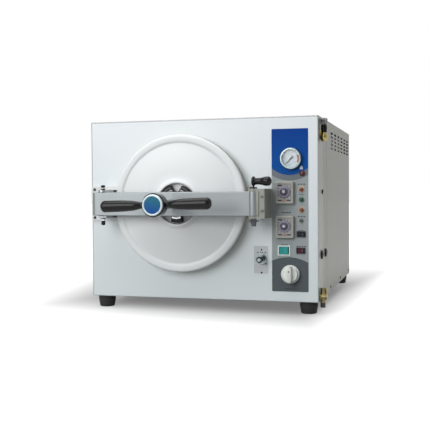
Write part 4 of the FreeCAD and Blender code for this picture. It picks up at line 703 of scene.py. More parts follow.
def soften(points: Sequence[Sequence[float]], steps: int = 4) -> list[Point]:
    """Round the corners of an open profile; a point's third number is its corner radius.

    Args:
        points: Corners of the profile.
        steps: Segments in each rounded corner.

    Returns:
        The softened profile.
    """
    softened = [tuple(points[0][:2])]
    for before, corner, after in zip(points, points[1:], points[2:]):
        here = Vector(corner[:2])
        back, ahead = Vector(before[:2]) - here, Vector(after[:2]) - here
        if len(corner) < 3:
            softened.append(tuple(here))
            continue
        reach = min(corner[2], back.length * 0.49, ahead.length * 0.49)
        softened += bow(tuple(here + back.normalized() * reach), tuple(here),
                        tuple(here + ahead.normalized() * reach), steps)
    softened.append(tuple(points[-1][:2]))
    return softened


@dataclass
class Shape:
    """Mesh of one piece, drawn in machine millimetres."""

    materials: Sequence[bpy.types.Material]
    mesh: bmesh.types.BMesh = field(default_factory=bmesh.new)

    def loft(self, seat: Seat, sections: Iterable[Sequence], caps: bool = True) -> None:
        """Skin a row of outlines.

        Args:
            seat: Local frame.
            sections: Outline, distance outward and, where it isn't the first, its band's material.
            caps: Whether the ends are closed.
        """
        rings = []
        layers = []
        for outline, out, *layer in sections:
            rings.append([self.mesh.verts.new(seat.at(across, up, out)) for across, up in outline])
            layers.append(layer[0] if layer else 0)
        for ring, following, layer in zip(rings, rings[1:], layers):
            self._band(ring, following, layer)
        if caps:
            for ring, layer in ((rings[0], layers[0]), (rings[-1], layers[-1])):
                if len(ring) > 2:
                    self.mesh.faces.new(ring).material_index = layer

    def _band(self, ring: Ring, following: Ring, layer: int) -> None:
        """Join two rings, of which one may be a single point.

        Args:
            ring: First ring.
            following: Second ring.
            layer: Material index.
        """
        count = max(len(ring), len(following))
        for index in range(count):
            after = (index + 1) % count
            corners = [ring[index % len(ring)], ring[after % len(ring)],
                       following[after % len(following)], following[index % len(following)]]
            face = self.mesh.faces.new(list(dict.fromkeys(corners)))
            face.material_index = layer

    def turned(self, seat: Seat, profile: Iterable[Sequence[float]], steps: int = 64, layer: int = 0,
               caps: bool = True) -> None:
        """Turn a profile about the seat's outward axis.

        Args:
            seat: Local frame.
            profile: Radius, distance outward and, where it differs, the material of the band after it.
            steps: Points round the axis.
            layer: Usual material index.
            caps: Whether open ends are closed.
        """
        sections = []
        for radius, out, *own in profile:
            sections.append((circle(radius, steps), out, int(own[0]) if own else layer))
        self.loft(seat, sections, caps)

    def slab(self, seat: Seat, size: Sequence[float], back: float, front: float, corner: float, edge: float,
             layer: int = 0) -> None:
        """Round-cornered plate with a rounded front edge.

        Args:
            seat: Local frame.
            size: Width and height.
            back: Distance outward of its back.
            front: Distance outward of its face.
            corner: Corner radius.
            edge: Radius of the front edge.
            layer: Material index.
        """
        sections = [(rounded_rect(size[0], size[1], corner), back, layer)]
        steps = 4
        for step in range(steps + 1):
            angle = math.pi / 2 * step / steps
            inset = edge * (1 - math.cos(angle))
            outline = rounded_rect(size[0] - 2 * inset, size[1] - 2 * inset, corner - inset)
            sections.append((outline, front - edge + edge * math.sin(angle), layer))
        self.loft(seat, sections)

    def tube(self, points: Sequence[Sequence[float]], radius: float, steps: int = 16, layer: int = 0) -> None:
        """Straight-sided round bar through points.

        Args:
            points: Points in machine millimetres.
            radius: Radius.
            steps: Points round the bar.
            layer: Material index.
        """
        for start, end in zip(points, points[1:]):
            way = Vector(end) - Vector(start)
            self.turned(Seat.along(start, way), [(radius, 0.0), (radius, way.length)], steps, layer)

    def piece(self, name: str, body: str, replaced: Sequence[str] = (),
              bevel: float = 0.0, sharp: float = 32.0) -> bpy.types.Object:
        """Turn the mesh into a piece of the scene.

        Args:
            name: Name of the piece.
            body: CAD body that it rides on.
            replaced: CAD nodes that it stands for.
            bevel: Width of rounded edges in millimetres.
            sharp: Angle above which an edge stays sharp, in degrees.

        Returns:
            The piece.
        """
        bmesh.ops.recalc_face_normals(self.mesh, faces=self.mesh.faces)
        data = bpy.data.meshes.new(name)
        self.mesh.to_mesh(data)
        self.mesh.free()
        for material in self.materials:
            data.materials.append(material)
        data.shade_smooth()
        data.set_sharp_from_angle(angle=math.radians(sharp))
        made = bpy.data.objects.new(name, data)
        bpy.context.scene.collection.objects.link(made)
        if bevel:
            rounding = made.modifiers.new("rounded_edges", "BEVEL")
            rounding.width = bevel * MM
            rounding.segments = 3
            rounding.limit_method = "ANGLE"
            rounding.angle_limit = math.radians(35.0)
        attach(made, body)
        if replaced:
            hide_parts(*replaced)
        LOG.info("%s rides on %s, %d faces", name, body, len(data.polygons))
        return made


def dress(material: bpy.types.Material, *nodes: str) -> None:
    """Give CAD nodes a finish.

    Args:
        material: The finish.
        nodes: CAD nodes that keep their shape.
    """
    for node in nodes:
        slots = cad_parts[node].data.materials
        slots.clear()
        slots.append(material)
        LOG.info("%s keeps its shape, finish %s", node, material.name)


def figures(shape: Shape, text: str, seat: Seat, height: float, layer: int) -> None:
    """Add plain figures to a shape.

    Args:
        shape: Shape that takes them.
        text: Digits.
        seat: Frame whose origin is the middle of the figures.
        height: Height of the digits.
        layer: Material index.
    """
    em_per_digit, rise = 1.4, 0.05
    curve = bpy.data.curves.new("figures", "FONT")
    curve.body = text
    curve.align_x = "CENTER"
    curve.align_y = "CENTER"
    curve.size = height * em_per_digit
    curve.resolution_u = 3
    holder = bpy.data.objects.new("figures", curve)
    flat = bpy.data.meshes.new_from_object(holder)
    corners = [shape.mesh.verts.new(seat.at(vertex.co.x, vertex.co.y, rise)) for vertex in flat.vertices]
    for polygon in flat.polygons:
        shape.mesh.faces.new([corners[index] for index in polygon.vertices]).material_index = layer
    bpy.data.objects.remove(holder)
    bpy.data.curves.remove(curve)
    bpy.data.meshes.remove(flat)


# ---------------------------------------------------------------- finishes of single places
@dataclass(frozen=True)
class PanelEnamel(Finish):
    """Pale enamel of the front panel, with painted shade darkening it towards its foot, a painted shadow line
    along its folded edge and a darker olive painted shade on its right side return.
    """

    name: str = "panel_enamel"
    # face and foot are the sheet's top and bottom tones; the darker foot is painted shade.
    face: Colour = linear(220, 226, 230)
    foot: Colour = linear(209, 218, 221)
    # Darker line along the top and left fold: painted shadow.
    painted_edge_shadow: Colour = linear(158, 160, 163)
    # Olive tone of the right return, darker than the face: painted shade.
    side: Colour = linear(160, 163, 146)
    cloud: Colour = (0.62, 0.66, 0.66)
    fold_width: float = 3.4
    side_depth: float = 2.0

    def apply(self, paint: Paint) -> None:
        """Darken the sheet downwards, along its fold and on its right return, all as painted shade.

        Args:
            paint: Material under construction.
        """
        size = RIG.spot("front_panel").size
        x, y, z = paint.place()
        # Painted shade: the sheet darkens towards its bottom.
        painted_shade_fall = (1.0 - z / size[2]).share()
        tone = paint.mix(painted_shade_fall, self.face, self.foot)
        # Painted shadow line along the top and left fold.
        rim = (z > size[2] - self.fold_width).most(x < self.fold_width) * (y < self.fold_width)
        tone = paint.mix(rim, tone, self.painted_edge_shadow)
        tone = paint.mix(paint.noise(5.0, 2.0) * 0.12, tone, self.cloud)
        # Painted shade on the right return.
        tone = paint.mix((y > self.fold_width) * (x > size[0] - self.side_depth), tone, self.side)
        paint.set(Base_Color=tone, Metallic=0.0)
        paint.set(Roughness=0.33 + paint.noise(40.0, 3.0) * 0.08)
        paint.bump(paint.noise(1100.0, 2.0), 0.07, 0.0002)


@dataclass(frozen=True)
class StripPrint(Finish):
    """Printed overlay of the control strip: blue head, grey middle and dark foot."""

    name: str = "strip_print"
    blue: Colour = linear(4, 76, 150)
    deep_blue: Colour = linear(0, 60, 140)
    band: Colour = linear(112, 119, 126)
    middle: Colour = linear(152, 159, 160)
    foot: Colour = linear(84, 91, 95)
    cloud: Colour = (0.36, 0.40, 0.42)
    head_circle: Point3 = (521.5, 374.7, 66.7)
    band_circle: Point3 = (521.5, 374.6, 80.1)
    foot_circle: Point3 = (518.0, 13.5, 95.5)
    head_line: float = 325.0
    head_height: float = 90.0

    def apply(self, paint: Paint) -> None:
        """Print the zones from the middle outwards.

        Args:
            paint: Material under construction.
        """
        x, _, z = paint.place()
        head = self._inside(x, z, self.head_circle).most(z > self.head_line)
        band = self._inside(x, z, self.band_circle)
        foot = self._inside(x, z, self.foot_circle)
        blue = paint.mix(((z - self.head_line) / self.head_height).share(), self.blue, self.deep_blue)
        tone = paint.mix(paint.noise(25.0, 3.0) * 0.3, self.middle, self.cloud)
        tone = paint.mix(band, tone, self.band)
        tone = paint.mix(foot, tone, self.foot)
        tone = paint.mix(head, tone, blue)
        paint.set(Base_Color=tone, Specular_IOR_Level=0.08)
        paint.set(Roughness=0.4 + paint.noise(200.0, 3.0) * 0.1)
        paint.bump(paint.noise(3000.0, 2.0), 0.05, 0.0001)

    def _inside(self, x: Signal, z: Signal, ring: Point3) -> Signal:
        """Mask of the inside of a ring, given as its centre across and up and its radius."""
        return ((x - ring[0]) ** 2.0 + (z - ring[1]) ** 2.0) < ring[2] ** 2


@dataclass(frozen=True)
class HousingMoulding(Finish):
    """Switch housings: a white mains frame and dark frames for the rest."""

    name: str = "housing_moulding"
    pale: Colour = linear(214, 226, 222)
    dark: Colour = linear(40, 44, 50)
    reset: Colour = linear(132, 138, 134)
    grime: Colour = (0.3, 0.3, 0.3)
    pale_until: float = 530.0
    reset_from: float = 187.0

    def apply(self, paint: Paint) -> None:
        """Colour each housing by its place.

        Args:
            paint: Material under construction.
        """
        x, _, z = paint.place()
        tone = paint.mix(x < self.pale_until, self.dark, self.pale)
        tone = paint.mix(z > self.reset_from, tone, self.reset)
        paint.set(Base_Color=paint.mix(paint.noise(90.0, 3.0) * 0.06, tone, self.grime))
        paint.set(Roughness=0.32 + paint.noise(150.0, 3.0) * 0.1, Specular_IOR_Level=0.3)
        paint.bump(paint.noise(2600.0, 2.0), 0.06, 0.0001)


@dataclass(frozen=True)
class DrainBrass(Finish):
    """Dull brass whose outlet is black below a line."""

    name: str = "drain_brass"
    brass: Colour = linear(146, 138, 100)
    stain: Colour = linear(96, 88, 60)
    black: Colour = linear(34, 33, 31)
    black_below: float = -2.5

    def apply(self, paint: Paint) -> None:
        """Stain the brass and blacken the outlet.

        Args:
            paint: Material under construction.
        """
        _, _, z = paint.place()
        outlet = z < self.black_below
        cloud = paint.noise(120.0, 4.0)
        paint.set(Base_Color=paint.mix(outlet, paint.mix(cloud, self.brass, self.stain), self.black))
        paint.set(Metallic=1.0 - outlet * 0.9, Roughness=0.26 + cloud * 0.16)
        paint.bump(cloud, 0.15, 0.0002)


@dataclass(frozen=True)
class BracketFinish(Finish):
    """Painted plate whose forward lugs are polished."""

    name: str = "bracket_finish"
    coat: Colour = linear(206, 209, 208)
    polished: Colour = linear(176, 180, 182)
    grime: Colour = (0.3, 0.3, 0.3)
    lug_from: float = 9.0

    def apply(self, paint: Paint) -> None:
        """Paint the plate and polish the lugs.

        Args:
            paint: Material under construction.
        """
        _, y, _ = paint.place()
        lug = (y * -1.0) > self.lug_from
        cloud = paint.noise(60.0, 3.0)
        painted = paint.mix(cloud * 0.05, self.coat, self.grime)
        paint.set(Base_Color=paint.mix(lug, painted, self.polished))
        paint.set(Metallic=lug * 1.0, Roughness=0.34 - lug * 0.22 + cloud * 0.06)
        paint.bump(paint.noise(900.0, 2.0), 0.06, 0.0001)


@dataclass(frozen=True)
class ScrewFinish(Finish):
    """Black hinge screws, and painted ones from the middle of the machine to the right."""

    name: str = "screw_finish"
    black: Colour = linear(30, 30, 32)
    painted: Colour = linear(112, 115, 108)
    wear: Colour = (0.4, 0.4, 0.4)
    painted_from: float = 300.0

    def apply(self, paint: Paint) -> None:
        """Colour each screw by its side of the machine.

        Args:
            paint: Material under construction.
        """
        x, _, _ = paint.place()
        worn = paint.noise(400.0, 3.0)
        tone = paint.mix(x > self.painted_from, self.black, self.painted)
        paint.set(Base_Color=paint.mix(worn * 0.1, tone, self.wear), Roughness=0.3 + worn * 0.12)
        paint.set(Specular_IOR_Level=0.3, Metallic=0.0)


@dataclass(frozen=True)
class BadgeEnamel(Finish):
    """Bare two-tone disc in the handle hub: teal above, blue below."""

    name: str = "badge_enamel"
    upper: Colour = linear(6, 98, 122)
    lower: Colour = linear(10, 74, 146)
    mist: Colour = (0.10, 0.25, 0.42)
    rise: float = 2.2
    lean: float = 0.5

    def apply(self, paint: Paint) -> None:
        """Blend the two tones across the disc.

        Args:
            paint: Material under construction.
        """
        spot = RIG.spot("hub_cap")
        x, _, z = paint.place()
        height = (z - spot.centre[2]) / spot.size[2]
        side = (x - spot.centre[0]) / spot.size[0]
        tone = paint.mix((height * self.rise + side * self.lean + 0.5).share(), self.lower, self.upper)
        paint.set(Base_Color=paint.mix(paint.noise(160.0, 4.0) * 0.25, tone, self.mist))
        paint.set(Roughness=0.3 + paint.noise(300.0, 2.0) * 0.08, Specular_IOR_Level=0.1)


@dataclass(frozen=True)
class DialCard(Finish):
    """Gauge dial: pale card painted darker and cooler towards its lower left, as painted shade."""

    name: str = "dial_card"
    pale: Colour = linear(226, 236, 240)
    # Tone of the painted shade at the lower left.
    shade: Colour = linear(170, 196, 214)
    cloud: Colour = (0.75, 0.8, 0.82)
    start: float = 0.4

    def apply(self, paint: Paint) -> None:
        """Paint shade on the card, darker towards its lower left.

        Args:
            paint: Material under construction.
        """
        spot = RIG.spot("gauge_dial")
        x, _, z = paint.place()
        # Painted shade: grows towards the card's lower left.
        reach = (spot.centre[0] - x) / spot.size[0] + (spot.centre[2] - z) / spot.size[2] + self.start
        tone = paint.mix(reach.share(), self.pale, self.shade)
        paint.set(Base_Color=paint.mix(paint.noise(400.0, 3.0) * 0.2, tone, self.cloud))
        paint.set(Roughness=0.5 + paint.noise(500.0, 2.0) * 0.1)


@dataclass(frozen=True)
class FloorSheet(Finish):
    """Studio sweep that keeps the object's shadow and turns pure white away from its footprint by emission,
    whose slopes paint the shadow's outline and whose least glow is painted light under the machine.

    Each slope is its rise per millimetre to the right and to the back, and its start; the highest counts.
    """

    name: str = "floor_sheet"
    shade: Colour = linear(149, 149, 149)
    bounce: Colour = linear(120, 120, 120)
    # Least glow, reaching under the machine: painted light in the contact shadow.
    least: float = 0.17
    blend: float = 0.25
    # Slopes of the emission that paint the shadow's outline.
    painted_shadow_slopes: tuple[Point3, ...] = (
        (-0.00378, -0.0006, 0.034), (-0.00059, -0.00254, 0.506),
        (0.00733, -0.00039, -3.87), (0.0, 0.00096, -0.293))

    def apply(self, paint: Paint) -> None:
        """Lift the sheet to white outside the shadow by emission: painted light that draws the shadow's
        outline and lightens it under the machine.

        Args:
            paint: Material under construction.
        """
        x, y, _ = paint.place()
        # Painted light: emission that shapes the shadow's outline and lightens the shadow beneath the
        # machine.
        rise = paint.noise(4.0, 2.0) * 0.01 + self.least
        for right, back, start in self.painted_shadow_slopes:
            rise = rise.over(x * right + y * back + start, self.blend)
        seen = paint.seen()
        lift = rise.under(1.0, self.blend).least(1.0) * seen
        paint.set(Base_Color=paint.mix(seen, self.bounce, self.shade))
        paint.set(Emission_Color=paint.mix(lift, BLACK, WHITE))
        paint.set(Emission_Strength=1.0, Roughness=0.85 + paint.noise(30.0, 2.0) * 0.05)


@dataclass
class Finishes:
    """Every finish of the machine, built once."""

    made: dict[str, bpy.types.Material] = field(default_factory=dict)

    def get(self, finish: Finish) -> bpy.types.Material:
        """Material of a finish, built on first use.

        Args:
            finish: The finish.

        Returns:
            The material.
        """
        if finish.name not in self.made:
            self.made[finish.name] = finish.build()
        return self.made[finish.name]


SHOP = Finishes()

# Cover paint set darker and greener than the front panel's enamel: painted shade on the covers.
SHADED_COVER_COAT = Coat("shaded_cover_coat", linear(170, 172, 160), shine=0.2)
BACK_COAT = Coat("back_coat", linear(198, 200, 196))
DOOR_ENAMEL = Coat("door_enamel", linear(225, 229, 230), roughness=0.36, peel=0.05, shine=0.26)
LATCH_COAT = Coat("latch_coat", linear(144, 148, 138), roughness=0.34)
DOOR_EDGE_STEEL = Metal("door_edge_steel", linear(176, 172, 150), 0.32, (1.0, 0.05, 1.0))
LINER_STEEL = Metal("liner_steel", linear(190, 192, 192), 0.3, (0.2, 1.0, 1.0), 0.012)
BAR_STEEL = Metal("bar_steel", linear(126, 131, 133), 0.42, (0.02, 1.0, 1.0), 0.08, linear(118, 122, 122))
CAP_STEEL = Metal("cap_steel", linear(112, 114, 116), 0.24, (1.0, 1.0, 0.1), 0.1)
CHROME = Metal("chrome", linear(225, 228, 230), 0.08, tint_share=0.05)
WORN_CHROME = Metal("worn_chrome", linear(142, 146, 148), 0.16, tint_share=0.1)
DARK_CHROME = Metal("dark_chrome", linear(64, 68, 72), 0.10, tint_share=0.05)
BLACK_STEEL = Metal("black_steel", linear(46, 46, 48), 0.26)
SATIN_STEEL = Metal("satin_steel", linear(200, 201, 198), 0.30, (1.0, 0.04, 1.0))
GAUGE_STEEL = Metal("gauge_steel", linear(118, 130, 128), 0.16, (1.0, 1.0, 1.0))
BRASS = Metal("brass", linear(184, 156, 88), 0.24, tint=linear(132, 112, 62), tint_share=0.5)
RELIEF_BRASS = Metal("relief_brass", linear(166, 150, 96), 0.22, tint=linear(96, 88, 56), tint_share=0.6)
COPPER = Metal("copper", linear(196, 124, 90), 0.26, tint=linear(130, 84, 62), tint_share=0.4)
HOT_STEEL = Metal("hot_steel", linear(150, 138, 126), 0.35, tint=linear(120, 92, 90), tint_share=0.6)
GALVANISED = Coat("galvanised", linear(168, 172, 170), roughness=0.42, tone=0.12, peel_scale=300.0)
BLACK_GLOSS = Moulding("black_gloss", linear(11, 12, 13), 0.12, 0.03, wear=0.0, shine=0.2)
BLACK_MATT = Moulding("black_matt", linear(26, 27, 28), 0.42, 0.12, wear=0.0, shine=0.25)
NAVY_PAINT = Moulding("navy_paint", linear(14, 24, 44), 0.4, 0.05, wear=0.0, shine=0.2)
PALE_RING = Moulding("pale_ring", linear(222, 236, 240), 0.22, coat=0.4)
TIMER_SHELL = Moulding("timer_shell", linear(162, 163, 154), 0.42)
TIMER_INSET = Moulding("timer_inset", linear(158, 159, 158), 0.45)
TIMER_SKIRT = Moulding("timer_skirt", linear(124, 121, 138), 0.34)
TIMER_CROWN = Moulding("timer_crown", linear(78, 74, 92), 0.34)
TIMER_GRIP = Moulding("timer_grip", linear(206, 204, 212), 0.30, coat=0.2)
KNOB_WHITE = Moulding("knob_white", linear(222, 227, 222), 0.30, coat=0.1)
TEAL = Moulding("teal_rocker", linear(8, 142, 138), 0.28)
BLACK_ROCKER = Moulding("black_rocker", linear(20, 22, 30), 0.26, shine=0.2)
RED_ROCKER = Moulding("red_rocker", linear(70, 24, 30), 0.26, shine=0.2)
TANK_PLASTIC = Moulding("tank_plastic", linear(222, 228, 228), 0.35)
RED_LENS = Lens("red_lens", linear(48, 10, 10), linear(92, 28, 24))
AMBER_LENS = Lens("amber_lens", linear(76, 30, 8), linear(118, 60, 20))
GREEN_LENS = Lens("green_lens", linear(2, 34, 24), linear(8, 54, 38))
AMBER_RING = Moulding("amber_ring", linear(216, 172, 132), 0.3)
GREEN_RING = Moulding("green_ring", linear(96, 146, 126), 0.3)
RED_RING = Moulding("red_ring", linear(84, 34, 32), 0.3)
RESET_PLASTIC = Moulding("reset_plastic", linear(62, 78, 78), 0.3)
INK = Moulding("print_ink", linear(44, 47, 54), 0.45, wear=0.0, shine=0.2)
PALE_INK = Moulding("pale_ink", linear(196, 202, 208), 0.45, wear=0.0)
ROCKER_INK = Moulding("rocker_ink", linear(112, 116, 142), 0.4, wear=0.0)
RED_INK = Moulding("red_ink", linear(206, 82, 62), 0.45)
PLATE_METAL = Coat("plate_coat", linear(188, 193, 196), roughness=0.3)
FOOT_RUBBER = Elastomer("foot_rubber", linear(30, 30, 31), linear(80, 80, 78))
SEAL_RUBBER = Elastomer("seal_rubber", linear(226, 222, 208), linear(190, 186, 172))
LAGGING = Blanket("lagging", linear(214, 206, 178))
GLASS = Glazing("gauge_glass_clear")
LAMINATE = Moulding("board_laminate", linear(34, 104, 66), 0.4)


# ---------------------------------------------------------------- case
@dataclass
class CaseShell:
    """Sheet-metal case, feet and the screws that hold it."""

    foot_top: float = 23.5
    foot_low: float = 19.0
    foot_height: float = 30.0
    foot_inset: float = 27.5
    foot_depths: Point = (30.0, 660.0)
    stud: float = 4.0
    stud_length: float = 8.0

    def build(self) -> None:
        """Dress the sheets and make the feet."""
        dress(SHOP.get(PanelEnamel()), "front_panel")
        dress(SHOP.get(SHADED_COVER_COAT), "left_cover", "right_cover", "top_cover")
        dress(SHOP.get(BACK_COAT), "back_panel")
        dress(SHOP.get(GALVANISED), "base_tray")
        dress(SHOP.get(ScrewFinish()), "screws")
        self.feet()

    def feet(self) -> None:
        """Make the four rubber feet with a ribbed skirt and a sunk fixing."""
        shape = Shape([SHOP.get(FOOT_RUBBER), SHOP.get(SATIN_STEEL)])
        height = self.foot_height
        profile = soften([
            (0.0, 0.0), (self.foot_top, 0.0, 0.8), (self.foot_top, 4.0, 0.8), (self.foot_top - 1.6, 5.2, 0.5),
            (self.foot_top - 1.9, 7.0, 0.5), (self.foot_top - 0.9, 8.2, 0.5),
            (self.foot_low + 0.6, height - 4.0, 0.6), (self.foot_low, height - 1.5, 1.0),
            (self.foot_low - 1.5, height, 0.8), (8.0, height, 0.6), (7.4, height - 6.0, 0.5),
            (0.0, height - 6.0)], 3)
        screw = [(0.0, height - 3.2, 1), (3.4, height - 3.2, 1), (4.4, height - 4.2, 1),
                 (4.4, height - 5.9, 1)]
        width = RIG.spot("front_panel").high[0]
        places = [(x, y) for x in (self.foot_inset, width - self.foot_inset) for y in self.foot_depths]
        for x, y in places:
            seat = Seat.on((x, y, 0.0), Facing.DOWN)
            shape.turned(seat, profile, 48)
            shape.turned(seat, screw, 24, 1)
            shape.turned(seat, [(self.stud, -self.stud_length, 1), (self.stud, 0.0, 1)], 20, 1)
        shape.piece("rubber_feet", "case", ["feet"])


# ---------------------------------------------------------------- control strip
@dataclass
class ControlStrip:
    """Printed overlay with its marks, and the label plate beside it."""

    marks: tuple[Mark, ...] = (
        (512.0, 217.2, 24.0, 2.6), (549.7, 285.4, 20.0, 2.6), (549.0, 260.4, 12.0, 1.8),
        (549.5, 207.6, 20.0, 2.6), (548.5, 174.1, 13.0, 1.6), (549.0, 135.4, 25.0, 2.4),
        (508.0, 138.9, 17.0, 2.2), (508.3, 153.2, 40.0, 1.3))
    plate_marks: tuple[Mark, ...] = (
        (451.0, 126.3, 4.6, 4.6), (441.5, 119.6, 6.6, 2.0), (451.0, 119.6, 8.4, 2.2),
        (460.5, 119.6, 6.6, 2.0), (451.0, 70.0, 6.4, 4.6), (462.0, 91.4, 5.0, 3.4))
    plate_ring: float = 11.6
    ring_width: float = 0.9
    pale_mark: Point3 = (549.4, 325.4, 4.2)
    dot: Point = (2.6, 0.8)
    dot_ring: float = 30.5
    dots: int = 12
    dot_start: float = -62.0
    dot_pitch: float = 26.0
    foot_line: Point = (30.0, 1.4)
    foot_line_drop: float = 36.0

    def build(self) -> None:
        """Dress the overlay and print its marks."""
        dress(SHOP.get(StripPrint()), "control_panel")
        dress(SHOP.get(PLATE_METAL), "toggle_plate")
        face = RIG.spot("control_panel").low[1]
        seat = Seat.on((0.0, face, 0.0))
        ink = Shape([SHOP.get(INK), SHOP.get(PALE_INK), SHOP.get(RED_INK)])
        for x, z, width, height in self.marks + self.plate_marks:
            self._dashes(ink, seat, (x, z), width, height)
        knob = RIG.spot("valve_knob").centre
        for index in range(self.dots):
            angle = self.dot_start + self.dot_pitch * index
            turn = math.radians(angle)
            spot = (knob[0] + self.dot_ring * math.cos(turn), face, knob[2] + self.dot_ring * math.sin(turn))
            self._bar(ink, Seat.on(spot, turn=angle), self.dot)
        self._bar(ink, Seat.on((knob[0], face, knob[2] - self.foot_line_drop)), self.foot_line)
        bush = RIG.spot("toggle_bush").centre
        ring = [(self.plate_ring - self.ring_width, INK_RISE), (self.plate_ring, INK_RISE)]
        ink.turned(Seat.on((bush[0], face, bush[2])), ring, 48, caps=False)
        x, z, half = self.pale_mark
        pale = [(half * 0.9, -half), (half, -half * 0.4), (half * 0.45, half), (-half * 0.45, half),
                (-half, -half * 0.4), (-half * 0.9, -half)]
        ink.loft(Seat.on((x, face, z)), [(pale, 0.0, 1), (pale, INK_RISE, 1)])
        ink.piece("strip_marks", "case")

    def _dashes(self, ink: Shape, seat: Seat, place: Point, width: float, height: float) -> None:
        """Print a short row of plain dashes.

        Args:
            ink: Shape that takes them.
            seat: Plane of the overlay.
            place: Middle of the row.
            width: Width of the row.
            height: Height of the dashes.
        """
        heights_per_dash, inked = 2.4, 0.72
        count = max(1, round(width / (height * heights_per_dash)))
        pitch = width / count
        for index in range(count):
            x = place[0] + (index + 0.5 - count / 2) * pitch
            self._bar(ink, seat.moved(x, place[1]), (pitch * inked, height))

    def _bar(self, ink: Shape, seat: Seat, size: Point) -> None:
        """Print one bar of a width and height about the middle of the seat."""
        outline = rounded_rect(size[0], size[1], 0.3 * min(size), 2)
        ink.loft(seat, [(outline, 0.0), (outline, INK_RISE)])


@dataclass
class PressureGauge:
    """Panel gauge: satin case, card with a scale, needle and domed glass."""

    scale_start: float = 225.0
    scale_turn: float = 270.0
    scale_radius: float = 20.5
    ticks: int = 40
    ticks_per_number: int = 10
    numbers: tuple[str, ...] = ("0", "1", "2", "3", "4")
    number_radius: float = 13.2
    number_height: float = 2.9
    red_start: float = 28.0
    red_turn: float = 58.0
    red_strokes: int = 23
    hole: float = 1.5

    def build(self) -> None:
        """Make the gauge."""
        dress(SHOP.get(GAUGE_STEEL), "gauge_case")
        self.dial()
        self.needle()
        self.glass()

    def dial(self) -> None:
        """Make the card with its scale, figures and red sector."""
        spot = RIG.spot("gauge_dial")
        centre = (spot.centre[0], spot.low[1], spot.centre[2])
        radius = spot.size[0] / 2
        seat = Seat.on(centre)
        shape = Shape([SHOP.get(DialCard()), SHOP.get(INK), SHOP.get(RED_INK)])
        shape.turned(seat, [(self.hole, -1.0), (radius, -1.0), (radius, -0.2), (radius - 0.2, 0.0),
                            (self.hole, 0.0)], 96, caps=False)
        for index in range(self.ticks + 1):
            angle = math.radians(self.scale_start - self.scale_turn * index / self.ticks)
            long = index % self.ticks_per_number == 0
            inner = self.scale_radius - (4.0 if long else 2.2)
            self._tick(shape, seat, angle, (inner, self.scale_radius), 0.5 if long else 0.25, 1)
        for index in range(self.red_strokes + 1):
            angle = math.radians(self.red_start - self.red_turn * index / self.red_strokes)
            self._tick(shape, seat, angle, (self.scale_radius - 4.6, self.scale_radius - 0.4), 1.1, 2)
        for index, digit in enumerate(self.numbers):
            angle = math.radians(self.scale_start - self.scale_turn * index / (len(self.numbers) - 1))
            figures(shape, digit, seat.swung(self.number_radius, angle), self.number_height, 1)
        shape.piece("gauge_card", "case", ["gauge_dial"])

    def _tick(self, shape: Shape, seat: Seat, angle: float, radii: Point, width: float, layer: int) -> None:
        """Print a radial mark.

        Args:
            shape: Shape that takes it.
            seat: Plane of the dial.
            angle: Direction in radians.
            radii: Inner and outer radius.
            width: Width of the mark.
            layer: Material index.
        """
        inner, outer = radii
        way, side = (math.cos(angle), math.sin(angle)), (-math.sin(angle), math.cos(angle))
        corners = []
        for radius, offset in ((inner, -1), (outer, -1), (outer, 1), (inner, 1)):
            shift = offset * width / 2
            point = seat.at(way[0] * radius + side[0] * shift, way[1] * radius + side[1] * shift, INK_RISE)
            corners.append(shape.mesh.verts.new(point))
        shape.mesh.faces.new(corners).material_index = layer

    def needle(self) -> None:
        """Make the needle with its hub and counterweight."""
        dial, spot = RIG.spot("gauge_dial"), RIG.spot("gauge_needle")
        seat = Seat.on((dial.centre[0], spot.low[1], dial.centre[2]), turn=self.scale_start)
        shape = Shape([SHOP.get(NAVY_PAINT), SHOP.get(SATIN_STEEL)])
        blade = [(17.0, -0.8), (17.0, 0.8), (2.2, 1.7), (-2.0, 1.8), (-4.0, 2.6), (-6.6, 2.7), (-7.0, 0.0),
                 (-6.6, -2.7), (-4.0, -2.6), (-2.0, -1.8), (2.2, -1.7)]
        shape.loft(seat, [(blade, -1.6), (blade, -0.8)])
        shape.turned(seat, soften([(2.6, -2.2), (2.6, -0.6, 0.5), (1.6, -0.1, 0.3), (0.0, 0.0)], 3), 32)
        shape.turned(seat, [(1.0, spot.low[1] - spot.high[1], 1), (1.0, -2.0, 1)], 16, 1)
        shape.piece("needle_blade", "needle", ["gauge_needle"], sharp=40.0)

    def glass(self) -> None:
        """Make the slightly domed glass."""
        spot = RIG.spot("gauge_glass")
        seat = Seat.on((spot.centre[0], spot.high[1], spot.centre[2]))
        radius = spot.size[0] / 2
        depth = spot.size[1]
        shape = Shape([SHOP.get(GLASS)])
        dome = bow((radius, depth * 0.55), (radius * 0.5, depth * 1.1), (0.0, depth), 10)
        shape.turned(seat, [(0.0, 0.0), (radius, 0.0)] + dome, 64)
        shape.piece("domed_glass", "case", ["gauge_glass"])


